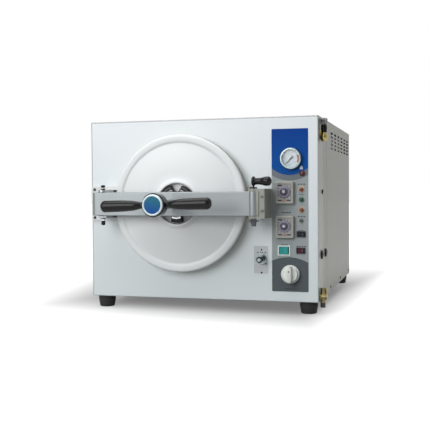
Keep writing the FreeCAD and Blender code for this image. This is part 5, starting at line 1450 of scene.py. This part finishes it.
@dataclass
class TimerModule:
    """Clockwork timer: square shell with a sunk line, a ring of dots and a skirted knob."""

    name: str
    knob_rise: float = 2.0
    skirt: float = 14.5
    crown: float = 7.4
    star: float = 3.9
    reach: float = 9.0
    print_ring: float = 16.4
    print_dots: int = 12
    skirt_ring: float = 12.2
    skirt_dots: int = 20

    def build(self) -> None:
        """Make the shell and the knob."""
        self.shell()
        self.knob()

    def shell(self) -> None:
        """Make the square shell, its inset face and the clockwork box behind."""
        node = self.name + "_timer_body"
        spot = RIG.spot(node)
        panel = RIG.spot("control_panel").low[1]
        seat = Seat.on((spot.centre[0], panel, spot.centre[2]))
        width, height = spot.size[0], spot.size[2]
        front = panel - spot.low[1]
        shape = Shape([SHOP.get(finish) for finish in (TIMER_SHELL, TIMER_INSET, INK, BLACK_MATT, RED_INK)])
        shape.loft(seat, self._shell_sections(width, height, front))
        shape.slab(seat, (width - 6.0, height - 8.0), -44.0, -0.1, 1.0, 0.1, 3)
        self._print(shape, Seat.on((spot.centre[0], spot.low[1] + 0.6, spot.centre[2])), width, height)
        shape.piece(self.name + "_timer_shell", "case", [node])

    def _shell_sections(self, width: float, height: float, front: float) -> list[tuple]:
        """Outlines of the shell from its back to its inset face.

        Args:
            width: Width.
            height: Height.
            front: Distance of its face from the panel.

        Returns:
            Sections for a loft.
        """
        rows = [(0.0, 0.0, 0), (0.0, front - 2.0, 0), (0.3, front - 0.8, 0), (1.0, front - 0.2, 0),
                (1.8, front, 0), (3.6, front, 0), (4.1, front - 0.6, 1), (4.4, front - 0.6, 1)]
        return [(rounded_rect(width - 2 * inset, height - 2 * inset, 3.0 - inset * 0.4), out, layer)
                for inset, out, layer in rows]

    def _print(self, shape: Shape, seat: Seat, width: float, height: float) -> None:
        """Print the inner frame line, corner marks and the dots round the knob.

        Args:
            shape: Shape that takes them.
            seat: Plane of the inset face.
            width: Width of the shell.
            height: Height of the shell.
        """
        inner_w, inner_h, line, rise = width - 12.0, height - 13.0, 1.2, 0.08
        outline = rounded_rect(inner_w, inner_h, 2.0)
        inside = rounded_rect(inner_w - line, inner_h - line, 1.5)
        shape.loft(seat, [(outline, INK_RISE, 2), (inside, INK_RISE, 2)], caps=False)
        side, high, low = 10.5, height / 2 - 9.6, -height / 2 + 8.6
        for across, up, size, layer in ((-side, high, (10.0, 3.0), 2), (-side, low, (9.0, 2.4), 2),
                                        (side, low, (9.0, 2.4), 2), (0.0, low, (9.0, 1.8), 4)):
            bar = rounded_rect(size[0], size[1], 0.5, 2)
            shape.loft(seat.moved(across, up), [(bar, 0.0, layer), (bar, rise, layer)])
        middle = seat.moved(0.0, self.knob_rise)
        for index in range(self.print_dots):
            angle = 2 * math.pi * index / self.print_dots
            shape.turned(middle.swung(self.print_ring, angle), [(0.9, 0.0, 2), (0.9, rise, 2)], 10, 2)

    def knob(self) -> None:
        """Make the knob: skirt with its dots, sloped crown, pale star and pointer line."""
        node = self.name + "_timer_knob"
        spot = RIG.spot(node)
        seat = Seat.on((spot.centre[0], RIG.spot(self.name + "_timer_body").low[1] - 0.3, spot.centre[2]))
        shape = Shape([SHOP.get(finish) for finish in (TIMER_SKIRT, TIMER_GRIP, INK, PALE_INK, TIMER_CROWN)])
        skirt = soften([(0.0, 0.0), (self.skirt, 0.0, 0.3), (self.skirt, 1.2, 0.5),
                        (self.skirt - 1.0, 2.0, 0.4), (self.crown + 2.2, 2.4)], 3)
        crown = soften([(self.crown + 2.2, 2.4), (self.crown, 3.4, 0.6), (self.crown - 1.6, 6.2, 0.8),
                        (0.0, 6.4)], 3)
        shape.turned(seat, skirt + [(radius, out, 4) for radius, out in crown], 72)
        rows = [(0.0, 6.0), (0.0, self.reach - 0.8), (0.5, self.reach - 0.2), (1.3, self.reach)]
        shape.loft(seat, [(scalloped(self.star - inset, 5, 1.5, 0.5, 12), out, 1) for inset, out in rows])
        pointer = rounded_rect(0.9, 4.0, 0.3, 2)
        shape.loft(seat.moved(0.0, self.crown + 2.0), [(pointer, 2.0, 3), (pointer, 2.7, 3)])
        for index in range(1, self.skirt_dots):
            angle = math.pi / 2 + 2 * math.pi * index / self.skirt_dots
            shape.turned(seat.swung(self.skirt_ring, angle), [(0.6, 2.0, 3), (0.6, 2.35, 3)], 8, 3)
        shape.turned(seat, [(3.0, -spot.high[1] + seat.centre.y, 2), (3.0, 0.0, 2)], 16, 2)
        shape.piece(self.name + "_timer_grip", self.name + "_timer", [node])


@dataclass
class PilotLamps:
    """Pilot lamps with a flange and a faceted lens."""

    flange: float = 7.0
    lens: float = 5.0
    stem: float = 18.0

    def build(self) -> None:
        """Make every lamp."""
        self.lamps("red_lamp", RED_LENS, RED_RING)
        self.lamps("amber_lamps", AMBER_LENS, AMBER_RING)
        self.lamps("green_lamp", GREEN_LENS, GREEN_RING)

    def lamps(self, node: str, lens: Lens, ring: Moulding) -> None:
        """Make the lamps of one colour.

        Args:
            node: CAD node.
            lens: Lens finish.
            ring: Flange finish.
        """
        spot = RIG.spot(node)
        panel = RIG.spot("control_panel").low[1]
        shape = Shape([SHOP.get(lens), SHOP.get(ring)])
        x = spot.centre[0]
        first, last = spot.low[2] + self.flange, spot.high[2] - self.flange
        for z in sorted({round(first, 3), round(last, 3)}):
            seat = Seat.on((x, panel, z))
            shape.turned(seat, soften([(0.0, 0.0), (self.flange, 0.0, 0.2), (self.flange, 1.3, 0.7),
                                       (self.lens + 0.9, 2.0, 0.4), (self.lens + 0.2, 1.5, 0.2),
                                       (self.lens - 0.2, 1.5)], 3), 40, 1)
            shape.turned(seat, [(self.lens, 1.0), (self.lens, 3.2), (self.lens * 0.86, 4.8),
                                (self.lens * 0.5, 5.8), (0.0, 6.0)], 12)
            shape.turned(seat, [(self.lens - 0.2, -self.stem, 1), (self.lens - 0.2, 0.0, 1)], 20, 1)
        shape.piece(node + "_lens", "case", [node], sharp=12.0)


@dataclass
class SwitchGroup:
    """Rocker switches, their housings and the reset button."""

    tilt: float = 6.0
    pivot: float = 2.0
    face: float = 5.35
    rise: float = 1.8
    mark_rise: float = 0.1

    def build(self) -> None:
        """Dress the rockers and mark them."""
        dress(SHOP.get(HousingMoulding()), "switch_housings")
        dress(SHOP.get(TEAL), "mains_rocker")
        dress(SHOP.get(BLACK_ROCKER), "heat_rocker")
        dress(SHOP.get(RED_ROCKER), "dry_rocker")
        dress(SHOP.get(RESET_PLASTIC), "reset_button")
        for node, body in (("heat_rocker", "heat_switch"), ("dry_rocker", "dry_switch")):
            self.marks(node, body)

    def marks(self, node: str, body: str) -> None:
        """Print a bar and a ring on a paddle.

        Args:
            node: CAD node of the paddle.
            body: Body that it rides on.
        """
        spot = RIG.spot(node)
        reach = spot.size[0] / 2
        rotation = Matrix.Rotation(-math.radians(self.tilt), 3, "Z")
        shape = Shape([SHOP.get(ROCKER_INK)])
        pivot = Vector((spot.centre[0], RIG.spot("control_panel").low[1] + self.pivot, spot.centre[2]))
        for side, ring in ((-1, False), (1, True)):
            slope = math.atan2(self.rise, reach) * side
            across = Vector((math.cos(slope), -math.sin(slope), 0.0))
            out = Vector((-math.sin(slope), -math.cos(slope), 0.0))
            centre = Vector((side * reach * 0.5, -self.face, 0.0))
            seat = Seat(pivot + rotation @ centre, rotation @ across, Vector((0.0, 0.0, 1.0)), rotation @ out)
            if ring:
                shape.turned(seat, [(1.5, 0.0), (1.5, self.mark_rise), (1.1, self.mark_rise), (1.1, 0.0)], 20,
                             caps=False)
            else:
                bar = rounded_rect(0.5, 3.0, 0.1, 2)
                shape.loft(seat, [(bar, 0.0), (bar, self.mark_rise)])
        shape.piece(node + "_marks", body)


@dataclass
class TogglePlate:
    """Ball toggle with a flat tip in brighter metal that paints a highlight on the dark ball, its pivot pin
    and its bush.
    """

    ball: float = 8.0
    tip: float = 4.2
    tip_share: float = 0.92
    stalk: float = 2.5
    knuckle: float = 4.6
    length: float = 18.0
    pivot: float = 5.0
    tail: float = 8.0
    pin: float = 1.2
    pin_reach: float = 5.875

    def build(self) -> None:
        """Dress the bush and make the lever."""
        dress(SHOP.get(GAUGE_STEEL), "toggle_bush")
        x, _, z = RIG.spot("toggle_bush").centre
        shape = Shape([SHOP.get(DARK_CHROME), SHOP.get(WORN_CHROME)])
        face = self.length + self.ball * self.tip_share
        profile = [(0.0, -self.tail), (self.stalk, -self.tail), (self.stalk, -4.2)]
        profile += self._arc(self.knuckle, 0.0, 12, range(3, 9))
        profile += [(self.stalk, 4.6), (self.stalk, self.length - self.ball * 0.96)]
        profile += self._arc(self.ball, self.length, 16, range(3, 14))
        # Flat tip in brighter metal than the ball: painted highlight.
        profile += [(self.tip, face - 0.5, 1), (self.tip - 0.5, face - 0.1, 1), (0.0, face, 1)]
        shape.turned(Seat.on((x, -self.pivot, z)), profile, 48)
        ends = [(x + side * self.pin_reach, -self.pivot, z) for side in (-1, 1)]
        shape.tube(ends, self.pin)
        shape.piece("toggle_ball", "toggle", ["toggle_lever"])

    def _arc(self, radius: float, centre: float, steps: int, taken: Iterable[int]) -> list[Point]:
        """Profile of the taken steps of a half circle, from its back to its front."""
        angles = (math.pi * step / steps for step in taken)
        return [(radius * math.sin(angle), centre - radius * math.cos(angle)) for angle in angles]


@dataclass
class ValveKnob:
    """White valve knob: rounded skirt, coned crown and a tall tapered grip."""

    radius: float = 22.5
    skirt: float = 8.0
    proud: float = 26.0
    grip: float = 11.0
    lift: float = 1.5
    stem: float = 5.0
    mark: float = 1.7
    mark_place: float = 8.0

    def build(self) -> None:
        """Make the knob."""
        spot = RIG.spot("valve_knob")
        seat = Seat.on((spot.centre[0], -self.lift, spot.centre[2]))
        shape = Shape([SHOP.get(KNOB_WHITE), SHOP.get(INK), SHOP.get(SATIN_STEEL)])
        r = self.radius
        shape.turned(seat, soften([(0.0, 0.0), (r, 0.0, 0.6), (r, self.skirt - 1.0, 1.6),
                                   (r - 2.4, self.skirt, 1.2), (r - 4.2, self.skirt + 6.0, 1.6),
                                   (0.0, self.skirt + 7.2)], 4), 96)
        half = r - 2.5
        rows = [(3.2, 0.0, self.skirt + 2.0), (1.6, 0.2, self.skirt + 8.0), (0.0, 0.6, self.proud - 2.4),
                (-0.8, 1.2, self.proud - 0.7), (-2.2, 2.2, self.proud)]
        sections = []
        for swell, inset, out in rows:
            sections.append((rounded_rect(self.grip + swell, 2 * (half - inset), 4.6, 8), out))
        shape.loft(seat, sections)
        shape.turned(seat.moved(0.0, self.mark_place),
                     [(self.mark, self.proud - 0.1, 1), (self.mark, self.proud + 0.05, 1)], 20, 1)
        shape.turned(seat, [(self.stem, -spot.high[1] - self.lift, 2), (self.stem, 0.0, 2)], 24, 2)
        shape.piece("valve_grip", "valve", ["valve_knob"])


# ---------------------------------------------------------------- door, bar and handle
@dataclass
class DoorAssembly:
    """Dished door, its thrust collar, gasket and chamber mouth."""

    radius: float = 170.5
    back: float = 8.0
    front: float = 35.0
    top: float = 45.5
    boss: float = 52.0
    floor: float = 40.0
    collar: float = 46.5
    collar_height: float = 16.0
    lobes: int = 5
    gap_depth: float = 17.0
    gap_share: float = 0.5
    band: float = 36.5
    band_gap_depth: float = 13.0

    @property
    def seat(self) -> Seat:
        """Frame on the door's axis, at the face of the front panel."""
        x, _, z = RIG.spot("door").centre
        return Seat.on((x, 0.0, z))

    def build(self) -> None:
        """Make the door and its collar."""
        self.shell()
        self.thrust_collar()
        dress(SHOP.get(SEAL_RUBBER), "door_gasket")
        dress(SHOP.get(LINER_STEEL), "chamber")

    def shell(self) -> None:
        """Make the enamelled dish with its steel side wall and inner liner."""
        outer = self.radius
        face = [(0.0, self.floor)] + soften([
            (30.0, self.floor), (48.5, self.floor, 2.0), (50.4, self.boss - 0.8, 1.2), (51.6, self.boss, 1.0),
            (55.0, self.boss, 2.2), (62.0, self.top + 1.4, 4.0), (75.0, self.top)], 6)[1:]
        face += bow((75.0, self.top), (112.0, 44.0), (146.0, 33.4), 24)[1:]
        face += soften([(146.0, 33.4), (149.6, 32.3, 2.5), (154.6, self.front, 3.0),
                        (outer - 6.0, self.front, 3.0), (outer - 1.6, self.front - 1.6, 3.0),
                        (outer, self.front - 6.0)], 6)[1:]
        wall = [(outer, self.front - 6.2, 1), (outer, self.back + 1.0, 1), (outer - 1.0, self.back, 1)]
        inner = [(146.0, self.back, 2), (140.0, 24.0, 2)]
        inner += [(radius, out, 2) for radius, out in bow((140.0, 24.0), (112.0, 36.4), (75.0, 37.5), 12)[1:]]
        inner += [(62.0, 37.5, 2), (50.5, 32.0, 2), (0.0, 32.0, 2)]
        shape = Shape([SHOP.get(DOOR_ENAMEL), SHOP.get(DOOR_EDGE_STEEL), SHOP.get(LINER_STEEL)])
        shape.turned(self.seat, face + wall + inner, 160)
        shape.piece("door_dish", "door", ["door"], sharp=40.0)

    def thrust_collar(self) -> None:
        """Make the lobed casting that the spindle presses: black outside, plated within."""
        shape = Shape([SHOP.get(BLACK_GLOSS), SHOP.get(WORN_CHROME)])
        rows = [(0.0, 0.0), (0.0, 11.0), (0.8, 14.0), (2.4, 15.6), (4.2, self.collar_height)]
        sections = []
        for inset, out in rows:
            outline = scalloped(self.collar - inset, self.lobes, self.gap_depth, self.gap_share)
            sections.append((outline, self.floor + out))
        face = self.floor + self.collar_height
        band = scalloped(self.band, self.lobes, self.band_gap_depth, self.gap_share)
        sections.append((band, face - 0.2, 1))
        for radius, drop in ((21.5, 2.2), (20.0, 2.6), (18.0, 1.0), (14.0, 0.4), (12.2, 1.6)):
            sections.append((scalloped(radius, self.lobes, 0.0, self.gap_share), face - drop, 1))
        shape.loft(self.seat, sections, caps=False)
        shape.piece("lobed_collar", "door", ["thrust_collar"])


@dataclass
class CrossBar:
    """Bent cross bar with its hinge and latch brackets."""

    barrel: float = 14.0
    barrel_share: float = 0.62
    wall_gap: float = 1.0
    cheek_rise: float = 10.6
    lug: float = 6.6
    cap: float = 6.0
    waist: float = 3.6
    neck: float = 5.0
    bolt: float = 4.9

    def build(self) -> None:
        """Dress the bar and brackets, and make the cheek and the hinge's nuts."""
        dress(SHOP.get(BAR_STEEL), "crossbar")
        dress(SHOP.get(BracketFinish()), "hinge_bracket")
        dress(SHOP.get(LATCH_COAT), "latch_bracket")
        dress(SHOP.get(DARK_CHROME), "latch_pin")
        self.cheek()
        self.hinge_nuts()

    def cheek(self) -> None:
        """Make the painted cheek that fills the corner between the bar's barrel and the latch wall."""
        pin, bar = RIG.spot("latch_pin").centre, RIG.spot("crossbar")
        start = pin[0] + self.barrel * self.barrel_share
        end = pin[0] + self.barrel + self.wall_gap - 0.5
        shape = Shape([SHOP.get(LATCH_COAT)])
        seat = Seat.on(((start + end) / 2, pin[1], bar.centre[2]))
        shape.slab(seat, (end - start, bar.size[2] - 0.6), 0.0, self.cheek_rise, 0.4, 0.4)
        shape.piece("bar_cheek", "crossbar")

    def hinge_nuts(self) -> None:
        """Make the hinge pin with a waisted nut above and a clip and tail below."""
        spot = RIG.spot("hinge_pin")
        pin = spot.centre
        shape = Shape([SHOP.get(BLACK_GLOSS), SHOP.get(CHROME)])
        bar = RIG.spot("crossbar")
        lug_top, lug_low = bar.high[2] + self.lug, bar.low[2] - self.lug
        seat = Seat.on((pin[0], pin[1], lug_top), Facing.UP)
        top = spot.high[2] - lug_top
        shape.turned(seat, [(0.0, 0.0), (self.cap, 0.0), (self.cap, 2.2), (self.cap - 0.6, 2.8, 1),
                            (self.waist, 3.2, 1), (self.waist, 5.0)]
                     + soften([(self.waist, 5.2), (self.cap - 0.6, 6.2, 0.8),
                               (self.cap - 0.6, top - 1.0, 1.2), (0.0, top)], 4), 40)
        seat = Seat.on((pin[0], pin[1], lug_low), Facing.DOWN)
        tail = lug_low - spot.low[2]
        shape.turned(seat, [(0.0, 0.0), (self.cap, 0.0), (self.cap, 2.4, 1), (self.neck, 3.0, 1),
                            (self.neck, 6.0)]
                     + soften([(self.neck, 6.2), (self.neck, tail - 1.4, 0.9), (3.4, tail, 0.4),
                               (0.0, tail)], 4), 40)
        shape.turned(Seat.on((pin[0], pin[1], lug_low - 1.0), Facing.UP),
                     [(self.bolt, 0.0), (self.bolt, lug_top - lug_low + 2.0)], 32)
        shape.piece("hinge_bolt", "case", ["hinge_pin"])


@dataclass
class LatchLever:
    """Black latch grip: an edge-on disc, a waisted body and a round end."""

    disc: float = 11.5
    disc_width: float = 4.5
    length: float = 43.5
    neck: float = 7.6
    end: float = 11.0
    angle: float = -5.0

    def build(self) -> None:
        """Make the grip."""
        pin = RIG.spot("latch_pin")
        spot = RIG.spot("latch_grip")
        turn = math.radians(self.angle)
        centre_z = spot.high[2] - self.disc
        seat = Seat.along((pin.centre[0], pin.centre[1], centre_z), (math.cos(turn), math.sin(turn), 0.0))
        tip = self.length
        half = self.disc_width / 2
        profile = soften([
            (0.0, -half), (self.disc, -half, 1.0), (self.disc, half, 1.0), (self.neck + 1.0, half + 0.4, 1.0),
            (self.neck, half + 5.0, 3.0), (self.neck + 0.8, tip - 23.0, 6.0), (self.end, tip - 15.0, 5.0),
            (self.end, tip - 4.5, 4.0), (self.end - 4.5, tip, 4.0), (0.0, tip)], 6)
        shape = Shape([SHOP.get(BLACK_GLOSS)])
        shape.turned(seat, profile, 64)
        shape.piece("latch_handle", "latch", ["latch_grip"])


@dataclass
class THandle:
    """Hub with its pale ring and bare badge, and two black grips on the spindle."""

    cap: float = 24.3
    badge: float = 19.8
    neck: float = 7.0
    mid: float = 11.2
    full: float = 13.8
    reach: float = 132.0
    root: float = 18.0
    tilt: float = 1.6

    def build(self) -> None:
        """Dress the spindle and hub, and make the cap and grips."""
        dress(SHOP.get(BLACK_STEEL), "spindle")
        dress(SHOP.get(BLACK_GLOSS), "handle_hub")
        self.cover()
        spot = RIG.spot("hub_cap")
        for side, node in ((-1.0, "left_grip"), (1.0, "right_grip")):
            self.grip(side, node, spot.centre)

    def cover(self) -> None:
        """Make the pale ring and the bare disc inside it."""
        spot = RIG.spot("hub_cap")
        seat = Seat.on((spot.centre[0], spot.high[1], spot.centre[2]))
        depth = spot.size[1]
        ring = soften([(0.0, 0.0), (self.cap, 0.0, 0.3), (self.cap, depth - 1.4, 1.4),
                       (self.cap - 1.6, depth, 1.0), (self.badge + 1.0, depth, 0.6),
                       (self.badge + 0.2, depth - 1.0, 0.3), (self.badge, depth - 1.0)], 4)
        dome = bow((self.badge - 0.4, depth - 0.9), (self.badge * 0.5, depth - 0.3), (0.0, depth - 0.25), 8)
        shape = Shape([SHOP.get(PALE_RING), SHOP.get(BadgeEnamel())])
        profile = [(radius, out, 0) for radius, out in ring[:-1]]
        profile += [(self.badge, depth - 1.0, 1)]
        profile += [(radius, out, 1) for radius, out in dome]
        shape.turned(seat, profile, 96)
        shape.piece("hub_ring", "handle", ["hub_cap"])

    def grip(self, side: float, node: str, hub: Sequence[float]) -> None:
        """Make one grip.

        Args:
            side: -1 for the left grip, 1 for the right.
            node: CAD node.
            hub: Centre of the hub.
        """
        spot = RIG.spot(node)
        turn = math.radians(self.tilt)
        way = (side * math.cos(turn), 0.0, side * math.sin(turn))
        seat = Seat.along((hub[0], spot.centre[1], hub[2]), way)
        end = self.reach
        profile = [(0.0, self.root)] + soften([
            (self.neck - 0.3, self.root), (self.neck, 24.0, 1.0), (self.neck, 31.0, 4.0),
            (self.mid, 49.0, 8.0), (self.full - 0.6, 74.0, 9.0), (self.full, end - 18.0, 6.0),
            (self.full, end - 6.0, 6.0), (self.full - 6.0, end, 5.0), (0.0, end)], 7)
        shape = Shape([SHOP.get(BLACK_GLOSS)])
        shape.turned(seat, profile, 64)
        shape.piece(node + "_moulded", "handle", [node])


# ---------------------------------------------------------------- inside and fittings
@dataclass
class ChamberGroup:
    """Everything behind the door and under the covers."""

    def build(self) -> None:
        """Dress the inner parts."""
        dress(SHOP.get(LAGGING), "insulation")
        dress(SHOP.get(HOT_STEEL), "heating_element")
        dress(SHOP.get(SATIN_STEEL), "tray_rack", "lower_tray", "upper_tray")
        dress(SHOP.get(TANK_PLASTIC), "water_tank")
        dress(SHOP.get(BRASS), "multiport_valve")
        dress(SHOP.get(COPPER), "pipework")
        dress(SHOP.get(LAMINATE), "relay_board")


@dataclass
class ServiceFittings:
    """Relief valve, drain cock, side caps, mains inlet and filler cap."""

    side_caps: tuple[Point3, ...] = ((53.0, 112.0, 11.0), (121.0, 112.0, 11.0), (67.0, 267.0, 6.0))
    cap_proud: float = 0.45
    pipe: float = 4.5
    nut: float = 8.0
    nut_width: float = 3.0
    knurls: int = 20
    knurl_depth: float = 0.7

    def build(self) -> None:
        """Make the relief valve and caps, and dress the rest."""
        dress(SHOP.get(DrainBrass()), "drain_cock", "drain_lever")
        dress(SHOP.get(BLACK_MATT), "mains_inlet", "tank_cap")
        self.relief_valve()
        self.caps()

    def relief_valve(self) -> None:
        """Make the brass bulb, its black sleeve and the knurled cap on top."""
        spot, cap = RIG.spot("relief_valve"), RIG.spot("relief_cap")
        x, y = cap.centre[0], cap.centre[1]
        seat = Seat.on((x, y, spot.low[2]), Facing.UP)
        height = spot.size[2]
        shape = Shape([SHOP.get(RELIEF_BRASS), SHOP.get(BLACK_GLOSS)])
        bulb = soften([(0.0, 0.0), (4.6, 0.0, 1.0), (7.6, 3.0, 2.0), (8.9, 8.0, 3.5), (8.9, 15.0, 3.5),
                       (7.2, 20.0, 1.5), (6.2, 22.0, 0.5)], 5)
        shape.turned(seat, bulb + [(6.2, 22.2, 1), (7.6, 22.6, 1), (7.6, height - 1.2, 1),
                                   (6.8, height - 0.4, 1), (2.4, height - 0.4, 1),
                                   (2.4, height - 12.0, 1)], 48, caps=False)
        middle = spot.low[2] + height / 2
        wall = RIG.spot("front_panel").high[0]
        shape.turned(Seat.along((spot.low[0], y, middle), (1.0, 0.0, 0.0)),
                     [(self.pipe, 0.0), (self.pipe, x - spot.low[0])], 32)
        hexagon, chamfer = circle(self.nut, 6), circle(self.nut * 0.9, 6)
        shape.loft(Seat.along((wall, y, middle), (1.0, 0.0, 0.0)),
                   [(hexagon, 0.0), (hexagon, self.nut_width * 0.8), (chamfer, self.nut_width)])
        shape.piece("relief_body", "case", ["relief_valve"], bevel=0.2)
        top = Seat.on((x, y, cap.high[2]), Facing.UP)
        reach = cap.size[0] / 2
        low = spot.high[2] + 0.3 - cap.high[2]
        rows = [(0.6, low), (0.0, low + 0.8), (0.0, -3.4), (0.9, -1.2), (2.6, 0.0)]
        cover = Shape([SHOP.get(CAP_STEEL), SHOP.get(DARK_CHROME)])
        cover.loft(top, [(scalloped(reach - inset, self.knurls, self.knurl_depth, 0.5, 6), out)
                         for inset, out in rows])
        cover.turned(top, [(2.0, cap.low[2] - cap.high[2], 1), (2.0, low, 1)], 16, 1)
        cover.piece("relief_knurl", "relief", ["relief_cap"])

    def caps(self) -> None:
        """Make the black caps on the right side."""
        spot = RIG.spot("side_caps")
        wall = RIG.spot("front_panel").high[0]
        shape = Shape([SHOP.get(BLACK_GLOSS)])
        for y, z, radius in self.side_caps:
            proud = self.cap_proud * radius
            seat = Seat.on((wall, y, z), Facing.RIGHT)
            shape.turned(seat, soften([(0.0, 0.0), (radius, 0.0, 0.3), (radius, proud * 0.45, 1.0),
                                       (radius * 0.86, proud * 0.9, 1.6), (radius * 0.62, proud, 0.6),
                                       (radius * 0.5, proud - 0.9, 0.4), (0.0, proud - 0.9)], 4), 40)
            shape.turned(seat, [(radius * 0.7, spot.low[0] - wall), (radius * 0.7, 0.0)], 24)
        shape.piece("side_plugs", "case", ["side_caps"])


# ---------------------------------------------------------------- studio
@dataclass
class Studio:
    """Floor, world, lamps and camera."""

    camera_place: Point3 = (0.5544, -2.0758, 0.3035)
    yaw: float = 15.956
    pitch: float = 1.881
    roll: float = -0.405
    lens: float = 64.295
    sensor: float = 36.0
    clip: float = 60.0
    floor_cells: int = 12
    floor_size: float = 14.0
    floor_gap: float = 0.0002
    ambient: float = 0.21
    band: float = 0.25
    band_top: float = 0.7
    front_start: float = 0.15
    front_width: float = 0.4
    lamps: tuple[tuple[str, Point3, float, float], ...] = (
        ("top_softbox", (-0.05, -0.45, 2.2), 2.0, 36.0),
        ("front_softbox", (-1.3, -3.2, 1.4), 2.2, 82.0))
    aim: Point3 = (0.0, -0.1, 0.25)

    def build(self) -> None:
        """Make the studio."""
        self.camera()
        self.floor()
        self.world()
        for name, place, size, power in self.lamps:
            self.lamp(name, place, size, power)

    def camera(self) -> None:
        """Place the camera."""
        yaw, pitch, roll = (math.radians(angle) for angle in (self.yaw, self.pitch, self.roll))
        reach = math.cos(pitch)
        forward = Vector((-math.sin(yaw) * reach, math.cos(yaw) * reach, -math.sin(pitch)))
        level = Vector((math.cos(yaw), math.sin(yaw), 0.0))
        upright = level.cross(forward)
        right = level * math.cos(roll) + upright * math.sin(roll)
        up = upright * math.cos(roll) - level * math.sin(roll)
        data = bpy.data.cameras.new("studio_camera")
        data.lens = self.lens
        data.sensor_width = self.sensor
        data.clip_end = self.clip
        made = bpy.data.objects.new("studio_camera", data)
        made.matrix_world = Matrix((
            (right.x, up.x, -forward.x, self.camera_place[0]),
            (right.y, up.y, -forward.y, self.camera_place[1]),
            (right.z, up.z, -forward.z, self.camera_place[2]),
            (0.0, 0.0, 0.0, 1.0)))
        bpy.context.scene.collection.objects.link(made)
        bpy.context.scene.camera = made

    def floor(self) -> None:
        """Lay the floor at the underside of the feet."""
        shape = bmesh.new()
        bmesh.ops.create_grid(shape, x_segments=self.floor_cells, y_segments=self.floor_cells,
                              size=self.floor_size)
        data = bpy.data.meshes.new("studio_floor")
        shape.to_mesh(data)
        shape.free()
        data.materials.append(FloorSheet().build())
        made = bpy.data.objects.new("studio_floor", data)
        made.location.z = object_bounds()[0][2] - self.floor_gap
        bpy.context.scene.collection.objects.link(made)
        made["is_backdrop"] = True

    def world(self) -> None:
        """Make a white world that lights less than it shows, with a dim band for reflections in front."""
        sky = Sky("studio_world")
        _, y, z = sky.split("ShaderNodeTexCoord", "Generated")
        front = ((y * -1.0 - self.front_start) / self.front_width).share()
        low = ((self.band_top - z) / self.band_top).share()
        mirrored = 1.0 - sky.node("ShaderNodeLightPath", {}, {}, "Is Camera Ray")
        shown = sky.blend(front * low * mirrored, sky.glow(1.0), sky.glow(self.band))
        surface = sky.blend(sky.seen(), sky.glow(self.ambient), shown)
        sky.node("ShaderNodeOutputWorld", {}, {"Surface": surface}, None)
        bpy.context.scene.world = sky.world
        bpy.context.scene.view_settings.view_transform = "Standard"

    def lamp(self, name: str, place: Point3, size: float, power: float) -> None:
        """Hang a soft area lamp that looks at the machine.

        Args:
            name: Name of the lamp.
            place: Position in metres.
            size: Side of the lamp in metres.
            power: Power in watts.
        """
        data = bpy.data.lights.new(name, "AREA")
        data.size = size
        data.energy = power
        made = bpy.data.objects.new(name, data)
        made.location = place
        aim = Vector(self.aim) - Vector(place)
        made.rotation_euler = aim.to_track_quat("-Z", "Y").to_euler()
        bpy.context.scene.collection.objects.link(made)


def main() -> None:
    """Build the machine's looks, then the studio."""
    logging.basicConfig(level=logging.INFO, format="%(name)s: %(message)s")
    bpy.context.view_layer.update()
    assemblies = [
        CaseShell(), ControlStrip(), PressureGauge(), TimerModule("upper"), TimerModule("lower"),
        PilotLamps(), SwitchGroup(), TogglePlate(), ValveKnob(), DoorAssembly(), CrossBar(), LatchLever(),
        THandle(), ChamberGroup(), ServiceFittings()]
    for assembly in assemblies:
        assembly.build()
    Studio().build()


if __name__ == "__main__":
    main()
